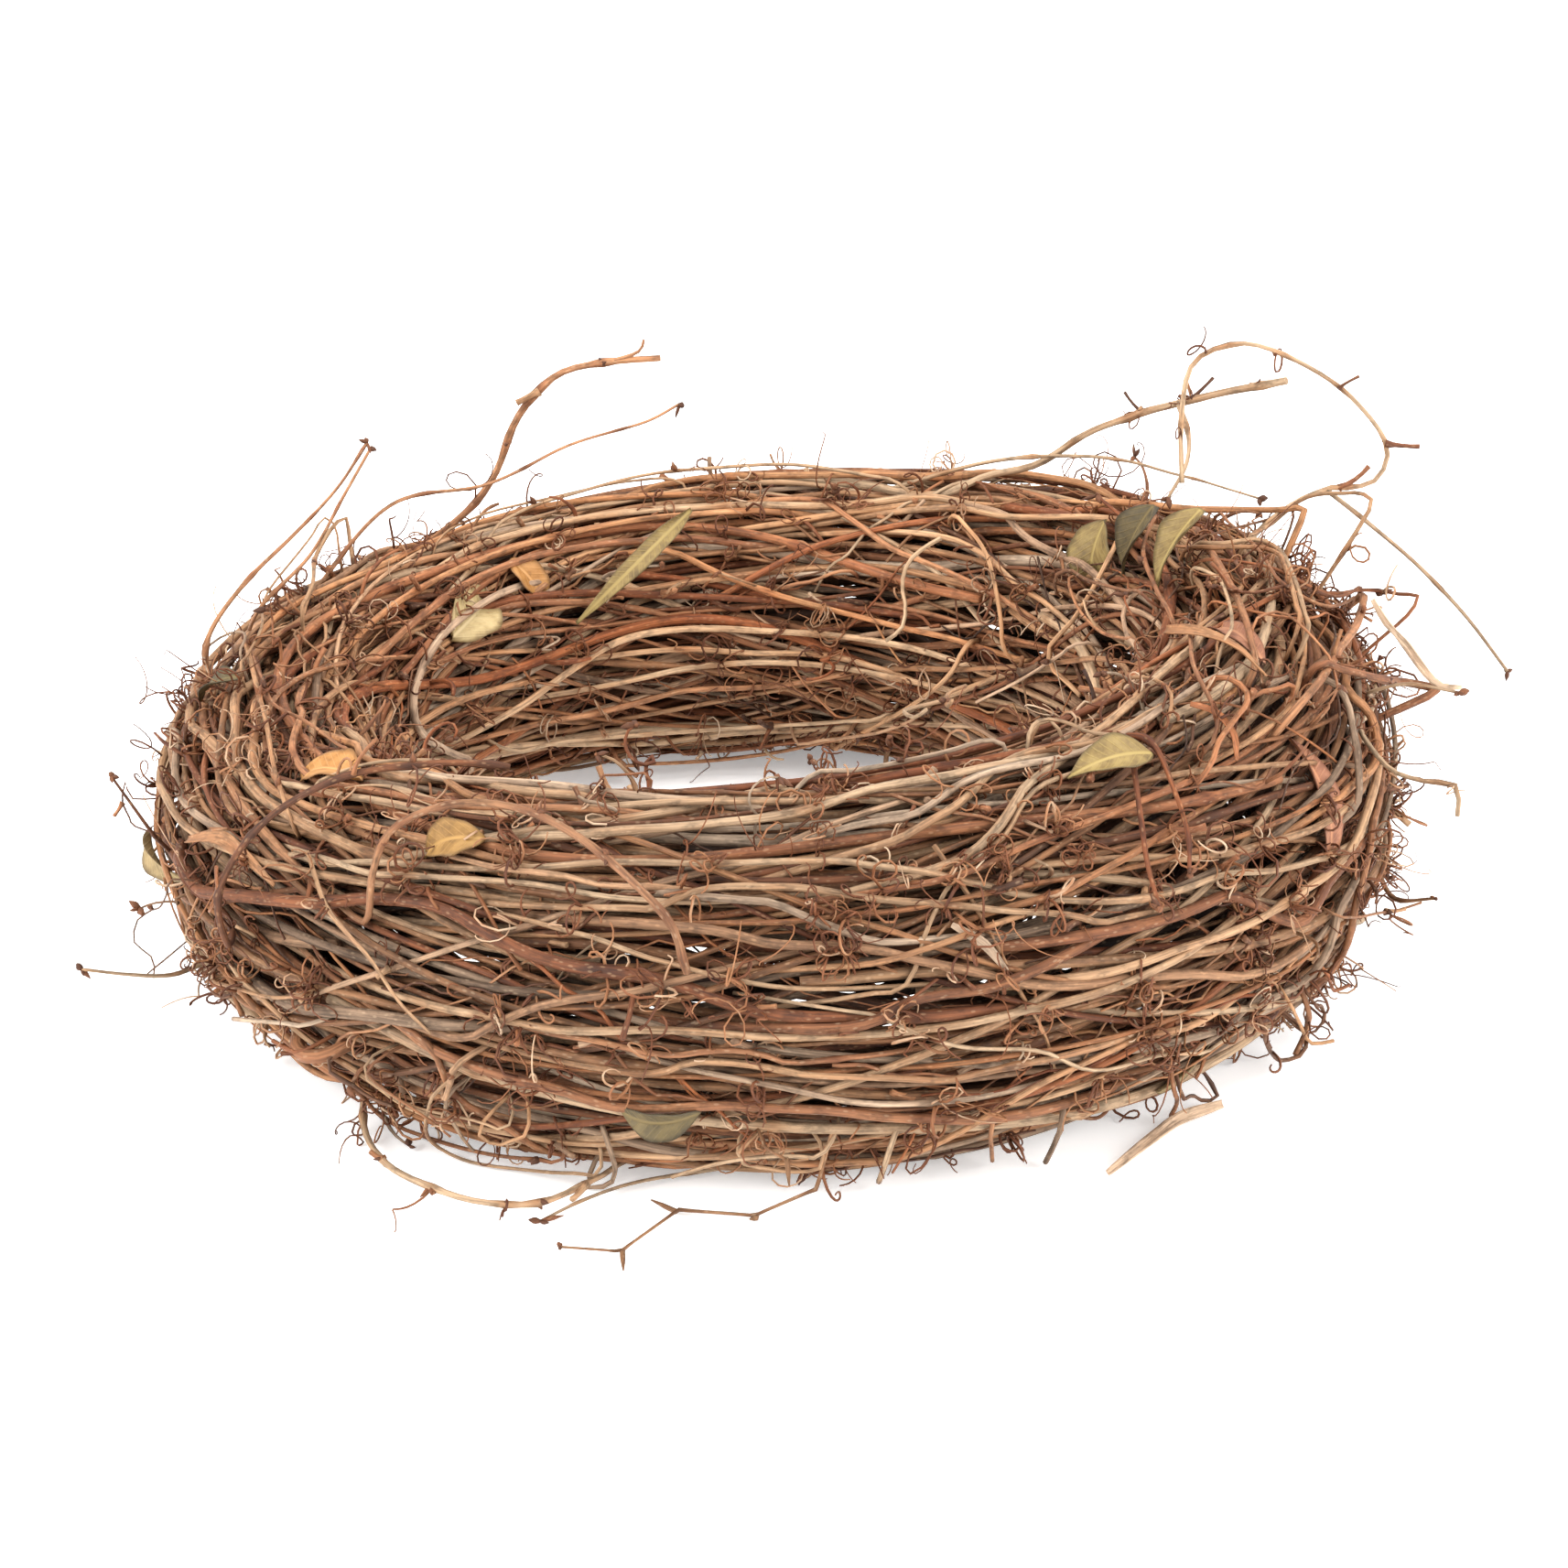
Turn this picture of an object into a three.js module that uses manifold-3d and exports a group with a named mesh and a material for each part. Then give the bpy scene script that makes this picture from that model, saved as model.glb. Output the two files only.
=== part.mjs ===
import * as THREE from 'three';
import { mergeVertices } from 'three/addons/utils/BufferGeometryUtils.js';
import Module from 'manifold-3d';

// A wreath of dried climbing-vine canes, in millimetres. It lies flat on z = 0 with +Z up,
// and its front is at -Y. Each cane is wound round the ring about twice and slowly climbs
// round the bundle, so that the layers cross each other. The free ends of the outermost
// canes spring out as twigs and loops, and dry leaves are caught between the canes.

// Form of the bundle
const ringRadius = 116;
const bundleHalfWidth = 32;
const widerAtRight = 4;
const widerAtFront = 2;
const heightToWidth = 1.26;
const ringShift = new THREE.Vector3(-13.8, 7.1, 0);
const stepsPerTurn = 28;
const clearance = 0.35;
const cutGap = 0.15;

// Colours of the dried canes, tendrils and leaves
const caneTan = new THREE.MeshStandardMaterial({ color: 0xa87a50, roughness: 0.6, metalness: 0 });
const caneBrown = new THREE.MeshStandardMaterial({ color: 0x85583a, roughness: 0.6, metalness: 0 });
const caneGrey = new THREE.MeshStandardMaterial({ color: 0x8a7460, roughness: 0.7, metalness: 0 });
const caneDark = new THREE.MeshStandardMaterial({ color: 0x543a2a, roughness: 0.75, metalness: 0 });
const leafOlive = new THREE.MeshStandardMaterial({ color: 0x96754d, roughness: 0.65, metalness: 0 });
const leafPale = new THREE.MeshStandardMaterial({ color: 0xc9b48a, roughness: 0.65, metalness: 0 });
const leafOrange = new THREE.MeshStandardMaterial({ color: 0xc08a50, roughness: 0.65, metalness: 0 });
const leafRed = new THREE.MeshStandardMaterial({ color: 0x9a5f40, roughness: 0.65, metalness: 0 });

const wasm = await Module();
wasm.setup();

const degree = Math.PI / 180;
let seed = 4127;

function random(low, high) {
  seed = (seed * 16807) % 2147483647;
  return low + (high - low) * seed / 2147483647;
}

// The bundle's section at each place round the ring is an ellipse that lies on z = 0
function halfWidthAt(phi) {
  return bundleHalfWidth + widerAtRight * Math.cos(phi) - widerAtFront * Math.sin(phi);
}

function ringPoint(phi, theta, depth) {
  const half = halfWidthAt(phi);
  const out = ringRadius + (half - depth) * Math.cos(theta);
  const up = heightToWidth * half + (heightToWidth * half - depth) * Math.sin(theta);
  return new THREE.Vector3(out * Math.cos(phi), out * Math.sin(phi), up).add(ringShift);
}

function ringNormal(phi, theta) {
  const out = heightToWidth * Math.cos(theta);
  return new THREE.Vector3(out * Math.cos(phi), out * Math.sin(phi), Math.sin(theta)).normalize();
}

function ringTangent(phi) {
  return new THREE.Vector3(-Math.sin(phi), Math.cos(phi), 0);
}

// Layers of the winding, from the outside in. Every layer is one long line of so many
// turns that climbs round the bundle, and is cut into canes. Its sway is a list of
// [waves round the ring, waves round the bundle, millimetres, phase].
const outermost = {
  turns: 8, climb: -3, start: 28, depth: 1.35, wander: 2.6,
  sway: [[2, 0, 2.0, 0.4], [5, 0, 2.4, 2.1], [3, 1, 2.0, 4.0]],
};
const outer = {
  turns: 20, climb: 7, start: 5, depth: 5.9, wander: 0.45,
  sway: [[2, 0, 3.0, 1.0], [4, 0, 3.4, 3.3], [6, 0, 2.4, 0.2], [2, 1, 1.6, 5.0], [4, -1, 1.2, 2.2]],
};
const middle = {
  turns: 16, climb: -5, start: 9, depth: 11.3, wander: 0.4,
  sway: [[2, 0, 3.4, 2.5], [3, 0, 3.6, 0.7], [5, 0, 3.0, 4.4], [3, 1, 1.2, 1.1]],
};
const inner = {
  turns: 10, climb: 3, start: 20, depth: 16.9, wander: 0.4,
  sway: [[3, 0, 2.6, 5.2], [5, 0, 1.8, 1.7], [2, 1, 0.9, 3.0]],
};
const core = {
  turns: 6, climb: -1, start: 12, depth: 22.6, wander: 0.3,
  sway: [[2, 0, 1.4, 0.9], [4, 0, 1.0, 3.8]],
};

// Angles of a layer's line after so many turns
function windingAngles(layer, turn) {
  const phi = 2 * Math.PI * turn;
  const steady = layer.start * degree + layer.climb / layer.turns * phi;
  let moved = layer.wander * Math.sin(2 * Math.PI * 1.37 * turn + layer.start);
  moved += layer.wander * Math.sin(2 * Math.PI * 3.19 * turn + 1.3);
  for (const [ringWaves, bundleWaves, size, phase] of layer.sway) {
    moved += size * Math.sin(ringWaves * phi + bundleWaves * steady + phase);
  }
  const reach = 1.1 * halfWidthAt(phi) - layer.depth;
  return { phi, theta: steady + moved / reach };
}

function windingPoint(layer, turn, depth = layer.depth) {
  const { phi, theta } = windingAngles(layer, turn);
  return ringPoint(phi, theta, depth);
}

// Stations along a cane: its two ends, and every step between them
function stationsBetween(from, to) {
  const turns = [from];
  for (let step = Math.ceil(from * stepsPerTurn + 0.1); step < to * stepsPerTurn - 0.1; step += 1) {
    turns.push(step / stepsPerTurn);
  }
  turns.push(to);
  return turns;
}

// A path that passes straight from one given point to the next
class PointPath extends THREE.Curve {
  constructor(points) {
    super();
    this.points = points;
  }

  getPoint(t) {
    const last = this.points.length - 1;
    const place = Math.min(Math.max(t, 0), 1) * last;
    const index = Math.min(Math.floor(place), last - 1);
    return this.points[index].clone().lerp(this.points[index + 1], place - index);
  }

  getUtoTmapping(u) {
    return u;
  }
}

function rod(points, radius, sides) {
  const section = new THREE.Shape();
  for (let side = 0; side < sides; side += 1) {
    const angle = 2 * Math.PI * side / sides;
    if (side === 0) section.moveTo(radius, 0);
    else section.lineTo(radius * Math.cos(angle), radius * Math.sin(angle));
  }
  return new THREE.ExtrudeGeometry(section, {
    steps: points.length - 1,
    extrudePath: new PointPath(points),
    bevelEnabled: false,
  });
}

// Thins or thickens a rod: each corner moves to or from the path point it belongs to
function taper(geometry, points, factors) {
  const position = geometry.getAttribute('position');
  const corner = new THREE.Vector3();
  for (let index = 0; index < position.count; index += 1) {
    corner.fromBufferAttribute(position, index);
    let nearest = 0;
    for (let place = 1; place < points.length; place += 1) {
      if (corner.distanceTo(points[place]) < corner.distanceTo(points[nearest])) nearest = place;
    }
    corner.sub(points[nearest]).multiplyScalar(factors[nearest]).add(points[nearest]);
    position.setXYZ(index, corner.x, corner.y, corner.z);
  }
  return geometry;
}

function solidFrom(geometry) {
  geometry.deleteAttribute('normal');
  geometry.deleteAttribute('uv');
  const merged = mergeVertices(geometry, 1e-4);
  return new wasm.Manifold(new wasm.Mesh({
    numProp: 3,
    vertProperties: new Float32Array(merged.getAttribute('position').array),
    triVerts: new Uint32Array(merged.getIndex().array),
  }));
}

function geometryFrom(solid) {
  const mesh = solid.getMesh();
  const geometry = new THREE.BufferGeometry();
  geometry.setAttribute('position', new THREE.BufferAttribute(new Float32Array(mesh.vertProperties), 3));
  geometry.setIndex(new THREE.BufferAttribute(new Uint32Array(mesh.triVerts), 1));
  geometry.computeVertexNormals();
  return geometry;
}

// A smooth line through the given points, with so many steps between each two
function smooth(points, stepsBetween) {
  const curve = new THREE.CatmullRomCurve3(points, false, 'centripetal');
  const count = (points.length - 1) * stepsBetween;
  const line = [];
  for (let step = 0; step <= count; step += 1) line.push(curve.getPoint(step / count));
  return line;
}

function placed(list) {
  return list.map(([x, y, z]) => new THREE.Vector3(x, y, z).add(ringShift));
}

// Every rod that is already there, to keep tendrils clear of the others
const rods = [];

function register(node, points, radius) {
  rods.push({ node, points, radius });
}

// Canes of the layers. Each is about two turns long, and its ends lie where the next begins.
const canes = [];

function windLayer(layer, name, radius, sides, materials) {
  const count = Math.round(layer.turns / 2);
  const cuts = [];
  for (let index = 0; index < count; index += 1) {
    cuts.push(Math.round((2 * index + random(0, 0.9)) * stepsPerTurn) / stepsPerTurn);
  }
  cuts.push(cuts[0] + layer.turns);
  for (let index = 0; index < count; index += 1) {
    const node = `${name}_${index + 1}`;
    const from = cuts[index] + cutGap / stepsPerTurn;
    const to = cuts[index + 1] - cutGap / stepsPerTurn;
    const turns = stationsBetween(from, to);
    const points = turns.map((turn) => windingPoint(layer, turn));
    register(node, points, radius);
    canes.push({
      node, layer, turns, points, solid: solidFrom(rod(points, radius, sides)),
      material: materials[index % materials.length],
    });
  }
}

windLayer(outer, 'outer_cane', 2.4, 4, [caneTan, caneBrown, caneTan, caneGrey, caneBrown]);
windLayer(middle, 'middle_cane', 2.5, 3, [caneBrown, caneGrey, caneDark]);
windLayer(inner, 'inner_cane', 2.6, 3, [caneDark, caneBrown]);
windLayer(core, 'core_cane', 2.6, 3, [caneDark]);

// Outermost canes. from and to are turns along the outermost line. head and tail are the
// free ends, listed from the ring outward, and shoots are side twigs that grow from the cane
// at a turn, or from the given point of its head or tail.
const outermostRadius = 1.9;
const outermostCanes = [
  {
    node: 'cane_with_floor_loop', from: 0.717, to: 1.45, material: caneTan,
    headRadius: 1.1,
    head: [[-34, -137, 6], [-46, -147, 6], [-59, -146, 5.5], [-70, -138, 4.5], [-80, -126, 3.6],
      [-86, -112, 3.4], [-88, -98, 5]],
    shoots: [{ at: 0.75, radius: 0.9, through: [[-26, -131, 1.8], [-37, -138, 1.3], [-46, -147, 1.2]] }],
  },
  { node: 'cane_right_rear', from: 1.49, to: 2.15, material: caneBrown, shoots: [] },
  {
    node: 'cane_with_tall_right_twig', from: 2.182, to: 2.35, material: caneTan,
    headRadius: 1.5,
    head: [[58, 100, 82], [71, 97, 86], [86, 88, 99], [105, 76, 110], [117, 68, 116], [130, 60, 121]],
    shoots: [
      { head: 3, radius: 1.1, through: [[107, 66, 105], [106, 58, 100], [101, 50, 94]] },
      { at: 2.2, radius: 0.9, through: [[58, 96, 87], [75, 90, 91], [91, 80, 94], [106, 68, 93], [124, 55, 92]] },
    ],
  },
  {
    node: 'cane_with_tall_left_twigs', from: 2.373, to: 2.65, material: caneBrown,
    headRadius: 1.4,
    head: [[-76, 86, 77], [-68, 84, 88], [-61, 80, 105], [-51, 76, 117], [-39, 74, 121], [-25, 72, 123]],
    tailRadius: 1.3,
    tail: [[-81, -122, 71], [-76, -126, 83], [-64, -126, 89], [-50, -130, 90], [-35, -140, 87],
      [-25, -149, 82], [-17, -154, 74], [-14, -153, 63]],
    shoots: [
      { head: 4, radius: 0.9, through: [[-30, 72, 125], [-29, 71, 128]] },
      { at: 2.42, radius: 0.9, through: [[-93, 70, 85], [-69, 68, 91], [-48, 66, 102], [-28, 64, 109], [-20, 63, 114]] },
      { at: 2.5, radius: 1.1, through: [[-131, 0, 76], [-123, 4, 88], [-111, 10, 99], [-100, 14, 110], [-93, 16, 120]] },
      { at: 2.46, radius: 0.9, through: [[-119, 12, 81], [-108, 18, 91], [-99, 21, 106], [-93, 24, 116]] },
    ],
  },
  {
    node: 'cane_front_right', from: 2.76, to: 3.75, material: caneTan,
    shoots: [{ at: 2.95, radius: 1.0, through: [[146, -55, 34], [154, -64, 38]] }],
  },
  {
    node: 'cane_with_red_fork', from: 3.79, to: 4.862, material: caneBrown,
    shoots: [
      { at: 4.86, radius: 0.9, through: [[79, -99, 92], [81, -117, 84], [82, -131, 77], [84, -139, 71]] },
      { at: 4.86, radius: 0.8, through: [[84, -98, 92], [89, -112, 85], [91, -122, 79], [91, -128, 74]] },
    ],
  },
  {
    node: 'cane_with_high_loop', from: 4.88, to: 5.05, material: caneTan,
    tailRadius: 0.95,
    tail: [[132, 48, 93], [140, 50, 96], [152, 52, 98], [155, 54, 105], [146, 54, 118], [132, 52, 128],
      [116, 50, 134], [106, 47, 130], [103, 44, 118], [103, 38, 102]],
    shoots: [{ tail: 1, radius: 1.0, through: [[150, 38, 91], [161, 28, 84], [171, 20, 75], [181, 12, 63]] }],
  },
  {
    node: 'cane_with_dark_arc', from: 5.09, to: 5.6, material: caneDark,
    tailRadius: 1.2,
    tail: [[-116, -99, 43], [-117, -102, 56], [-107, -104, 74], [-90, -104, 85], [-70, -102, 88],
      [-53, -100, 86]],
    shoots: [{ at: 5.55, radius: 0.9, through: [[-139, -52, 50], [-143, -53, 57], [-147, -54, 64]] }],
  },
  {
    node: 'cane_with_floor_twig', from: 5.64, to: 7.1, material: caneTan,
    shoots: [{
      at: 5.768, radius: 0.9,
      through: [[13, -147, 9], [0, -145, 1.6], [-17, -143, 1.3], [-28, -160, 1.3], [-41, -158, 1.3]],
    }],
  },
  { node: 'cane_front_top', from: 7.14, to: 7.9, material: caneBrown, shoots: [] },
  {
    node: 'cane_with_right_twigs', from: 7.95, to: 8.6, material: caneTan,
    headRadius: 0.95,
    head: [[143, -60, 68], [149, -66, 68], [156, -70, 68], [156, -74, 63]],
    shoots: [
      { at: 7.98, radius: 0.95, through: [[140, -44, 81], [147, -54, 87], [157, -60, 87]] },
      { at: 8.564, radius: 0.9, through: [[-136, -62, 18], [-144, -66, 20], [-154, -70, 23]] },
    ],
  },
];

for (const cane of outermostCanes) {
  const turns = stationsBetween(cane.from, cane.to);
  const wound = turns.map((turn) => windingPoint(outermost, turn));
  const head = placed(cane.head ?? []);
  const tail = placed(cane.tail ?? []);
  const curvePoints = [...head.toReversed(), ...wound, ...tail];
  const curve = new THREE.CatmullRomCurve3(curvePoints, false, 'centripetal');
  const points = [];
  const factors = [];
  for (let index = 0; index < curvePoints.length; index += 1) {
    const inHead = head.length - index;
    const inTail = index - head.length - wound.length + 1;
    const inWound = inHead <= 0 && inTail <= 0;
    let factor = 1;
    if (inHead > -1) factor = inHead > 0 ? cane.headRadius / outermostRadius : 0.85;
    if (inTail > -1) factor = inTail > 0 ? cane.tailRadius / outermostRadius : 0.85;
    if ((inHead === head.length && head.length) || (inTail === tail.length && tail.length)) factor *= 0.75;
    if (inWound && inHead <= -1 && inTail <= -1) factor = 1;
    points.push(curvePoints[index].clone());
    factors.push(factor);
    const free = inHead > 0 || inTail > -1;
    if (free && index < curvePoints.length - 1 && (tail.length || inHead > 0)) {
      points.push(curve.getPoint((index + 0.5) / (curvePoints.length - 1)));
      factors.push(factor);
    }
  }
  register(cane.node, points, outermostRadius);
  let solid = solidFrom(taper(rod(points, outermostRadius, 4), points, factors));
  for (const shoot of cane.shoots) {
    let root;
    if (shoot.at !== undefined) root = windingPoint(outermost, shoot.at);
    else if (shoot.head !== undefined) root = head[shoot.head].clone();
    else root = tail[shoot.tail].clone();
    const line = smooth([root, ...placed(shoot.through)], 2);
    register(cane.node, line, shoot.radius);
    solid = solid.add(solidFrom(rod(line, shoot.radius, 3)));
  }
  canes.push({ node: cane.node, layer: outermost, turns, points: wound, solid, material: cane.material });
}

// Hooks and curled tendrils that grow from the outer canes, spread evenly round the ring
function clearOf(line, radius, ownNode) {
  const segment = new THREE.Line3();
  const nearest = new THREE.Vector3();
  const path = new PointPath(line);
  for (const point of path.getPoints(3 * (line.length - 1))) {
    if (point.z < radius + 0.3) return false;
    for (const other of rods) {
      if (other.node === ownNode && other.cane !== false) continue;
      for (let index = 0; index < other.points.length - 1; index += 1) {
        segment.set(other.points[index], other.points[index + 1]);
        segment.closestPointToPoint(point, true, nearest);
        if (nearest.distanceTo(point) < radius + other.radius + clearance) return false;
      }
    }
  }
  return true;
}

const hookCount = 46;
const curlCount = 20;
const growing = canes.filter((cane) => cane.layer === outer || cane.layer === outermost);

function hookLine(root, normal, tangent, side) {
  const turnWay = random(0, 1) < 0.5 ? -1 : 1;
  const reach = random(10, 15);
  const lean = turnWay * random(3, 8);
  const slip = random(-4, 4);
  return [
    root.clone(),
    root.clone().addScaledVector(normal, 0.55 * reach).addScaledVector(tangent, 0.2 * lean),
    root.clone().addScaledVector(normal, 0.9 * reach).addScaledVector(tangent, lean).addScaledVector(side, 0.5 * slip),
    root.clone().addScaledVector(normal, reach).addScaledVector(tangent, 1.7 * lean).addScaledVector(side, slip),
  ];
}

function curlLine(root, normal, tangent, side) {
  const steps = 11;
  const loops = random(1.1, 1.5);
  const loopRadius = random(2.4, 3.4);
  const first = random(0, 2 * Math.PI);
  const drift = random(-5, 5);
  const line = [root.clone()];
  for (let step = 1; step <= steps; step += 1) {
    const part = step / steps;
    const angle = first + 2 * Math.PI * loops * part;
    const grown = loopRadius * Math.min(1, 2.5 * part);
    line.push(root.clone()
      .addScaledVector(normal, 4 + 9 * part + grown * Math.cos(angle))
      .addScaledVector(tangent, drift * part + grown * Math.sin(angle))
      .addScaledVector(side, 4 * part * Math.sign(drift)));
  }
  return line;
}

const growthEvery = 0.618034;
let tried = 0;
for (let grown = 0; grown < hookCount + curlCount && tried < 4000; tried += 1) {
  const phi = 2 * Math.PI * ((grown + 1) * growthEvery % 1) + random(-0.12, 0.12);
  const theta = random(-0.75, 1.25) * Math.PI;
  const wanted = ringPoint(phi, theta, 3);
  let best = null;
  for (const cane of growing) {
    for (let index = 1; index < cane.points.length - 1; index += 1) {
      const distance = cane.points[index].distanceTo(wanted);
      if (!best || distance < best.distance) best = { cane, index, distance };
    }
  }
  const root = best.cane.points[best.index];
  const angles = windingAngles(best.cane.layer, best.cane.turns[best.index]);
  const normal = ringNormal(angles.phi, angles.theta);
  const tangent = ringTangent(angles.phi);
  const side = normal.clone().cross(tangent);
  const curled = grown % 10 < 3;
  const line = curled ? curlLine(root, normal, tangent, side) : hookLine(root, normal, tangent, side);
  const radius = curled ? 0.6 : 0.8;
  if (!clearOf(line, radius, best.cane.node)) continue;
  rods.push({ node: best.cane.node, cane: false, points: line, radius });
  best.cane.solid = best.cane.solid.add(solidFrom(rod(line, radius, 3)));
  grown += 1;
}

// The canes that pass underneath are pressed flat where the wreath rests on them
const floorSlab = solidFrom(new THREE.BoxGeometry(600, 600, 20).translate(0, 0, -10));
for (const cane of canes) {
  if (cane.layer === outermost) cane.solid = cane.solid.subtract(floorSlab);
}

// Dry leaves, each folded along its rib, arched and waved. turned is the angle of its
// length from the way round the ring, and lift raises its tip off the canes.
const leaves = [
  { node: 'leaf_pale_rear_left', phi: 139, theta: 137, length: 22, width: 13, turned: 20, lift: 12, arch: 3, material: leafPale },
  { node: 'leaf_orange_rear_left', phi: 127, theta: 131, length: 15, width: 9, turned: -60, lift: 20, arch: 2, material: leafOrange },
  { node: 'leaf_long_strap_rear', phi: 111, theta: 138, length: 44, width: 6.5, turned: 215, lift: 4, arch: 5, material: leafOlive },
  { node: 'leaf_olive_right_1', phi: 31, theta: 124, length: 20, width: 13, turned: 275, lift: 35, arch: 2, material: leafOlive },
  { node: 'leaf_olive_right_2', phi: 21, theta: 116, length: 22, width: 13, turned: 262, lift: 38, arch: 2, material: leafOlive },
  { node: 'leaf_olive_right_3', phi: 9, theta: 110, length: 20, width: 12, turned: 285, lift: 30, arch: 2, material: leafPale },
  { node: 'leaf_folded_front_right', phi: -55, theta: 68, length: 19, width: 12, turned: -10, lift: 14, arch: 3, material: leafPale },
  { node: 'leaf_orange_front_left', phi: -140, theta: 76, length: 18, width: 12, turned: 20, lift: 8, arch: 3, material: leafOrange },
  { node: 'leaf_cupped_front_left', phi: -119, theta: 58, length: 15, width: 9, turned: 25, lift: 10, arch: 4, outside: 7, material: leafOrange },
  { node: 'leaf_pale_left', phi: -167, theta: -4, length: 18, width: 11, turned: 150, lift: 20, arch: 3, material: leafPale },
  { node: 'leaf_green_left_rim', phi: -173, theta: 66, length: 15, width: 7, turned: 60, lift: 12, arch: 2, material: leafOlive },
  { node: 'leaf_olive_front_low', phi: -98, theta: -20, length: 20, width: 9, turned: 5, lift: 4, arch: 4, outside: 9, material: leafOlive },
  { node: 'leaf_red_strap_top_right', phi: -19, theta: 92, length: 30, width: 6.5, turned: 220, lift: 6, arch: 4, material: leafRed },
  { node: 'leaf_red_blade_right', phi: -31, theta: 28, length: 34, width: 8, turned: 255, lift: 4, arch: 6, material: leafRed },
  { node: 'leaf_dry_strap_low_right', phi: -46, theta: -38, length: 30, width: 6.5, turned: 205, lift: 16, arch: 2, material: leafPale },
  { node: 'leaf_olive_rear_right', phi: 75, theta: 30, length: 22, width: 11, turned: 160, lift: 12, arch: 3, material: leafOlive },
  { node: 'leaf_orange_rear', phi: 165, theta: 20, length: 20, width: 11, turned: 30, lift: 12, arch: 3, material: leafOrange },
];
const bladeThickness = 0.7;
const bladeLengthSteps = 6;
const bladeWidthSteps = 2;

function leafBlade(leaf) {
  const columns = bladeWidthSteps + 1;
  const rows = bladeLengthSteps + 1;
  const face = new THREE.PlaneGeometry(1, 1, bladeWidthSteps, bladeLengthSteps);
  const faceIndex = Array.from(face.getIndex().array);
  const corners = [];
  for (let row = 0; row < rows; row += 1) {
    const along = row / bladeLengthSteps;
    const half = Math.max(0.5 * leaf.width * Math.sin(Math.PI * along ** 0.8) ** 0.8, 0.55);
    for (let column = 0; column < columns; column += 1) {
      const across = column - 1;
      const wave = 0.09 * leaf.width * Math.sin(5.2 * along + 2.4 * across + leaf.phi);
      const fold = 0.3 * half * Math.abs(across);
      const arch = -leaf.arch * (2 * along - 1) ** 2;
      const level = arch + fold + wave * Math.abs(across);
      corners.push([(1 - along) * leaf.length, -across * half, level]);
    }
  }
  const position = [];
  for (const [x, y, z] of corners) position.push(x, y, z + bladeThickness);
  for (const [x, y, z] of corners) position.push(x, y, z);
  const below = corners.length;
  const index = [...faceIndex];
  for (let place = 0; place < faceIndex.length; place += 3) {
    index.push(faceIndex[place] + below, faceIndex[place + 2] + below, faceIndex[place + 1] + below);
  }
  const rim = [];
  for (let column = 0; column < columns - 1; column += 1) rim.push(column);
  for (let row = 0; row < rows - 1; row += 1) rim.push(row * columns + columns - 1);
  for (let column = columns - 1; column > 0; column -= 1) rim.push((rows - 1) * columns + column);
  for (let row = rows - 1; row > 0; row -= 1) rim.push(row * columns);
  for (let place = 0; place < rim.length; place += 1) {
    const here = rim[place];
    const next = rim[(place + 1) % rim.length];
    index.push(here, next, next + below);
    index.push(here, next + below, here + below);
  }
  const geometry = new THREE.BufferGeometry();
  geometry.setAttribute('position', new THREE.Float32BufferAttribute(position, 3));
  geometry.setIndex(index);
  return geometry;
}

// Each leaf is moved in from outside until it first meets the canes, then back by a hair
const seatStep = 0.5;
const seatGap = 0.3;
let bundle = wasm.Manifold.compose(canes.map((cane) => cane.solid));
const wreath = new THREE.Group();

function addMesh(node, solid, material) {
  const mesh = new THREE.Mesh(geometryFrom(solid), material);
  mesh.name = node;
  wreath.add(mesh);
}

for (const cane of canes) addMesh(cane.node, cane.solid, cane.material);

for (const leaf of leaves) {
  const phi = leaf.phi * degree;
  const theta = leaf.theta * degree;
  const normal = ringNormal(phi, theta);
  const tangent = ringTangent(phi);
  const side = normal.clone().cross(tangent);
  const turned = leaf.turned * degree;
  const lift = leaf.lift * degree;
  const flat = tangent.clone().multiplyScalar(Math.cos(turned)).addScaledVector(side, Math.sin(turned));
  const lengthwise = flat.clone().multiplyScalar(Math.cos(lift)).addScaledVector(normal, Math.sin(lift));
  const crosswise = normal.clone().cross(flat);
  const faceNormal = lengthwise.clone().cross(crosswise);
  const frame = new THREE.Matrix4().makeBasis(lengthwise, crosswise, faceNormal);
  const middleOfLeaf = lengthwise.clone().multiplyScalar(-0.5 * leaf.length);
  frame.setPosition(ringPoint(phi, theta, 0).add(middleOfLeaf));
  const blade = solidFrom(leafBlade(leaf).applyMatrix4(frame));
  let height = leaf.outside ?? 24;
  const at = (offset) => blade.translate(normal.x * offset, normal.y * offset, normal.z * offset);
  while (height > -20 && at(height - seatStep).intersect(bundle).isEmpty()) height -= seatStep;
  let low = height - seatStep;
  while (height - low > 0.02) {
    const half = (height + low) / 2;
    if (at(half).intersect(bundle).isEmpty()) height = half;
    else low = half;
  }
  const seated = at(height + seatGap);
  bundle = wasm.Manifold.compose([bundle, seated]);
  addMesh(leaf.node, seated, leaf.material);
}

export default wreath;
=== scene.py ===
"""A wreath wound from the dried canes of a climbing vine, lying flat on a pale floor.

Sizes are in millimetres, in the frame of the CAD part: +Z is up and the front is at -Y.
"""
import math

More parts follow.
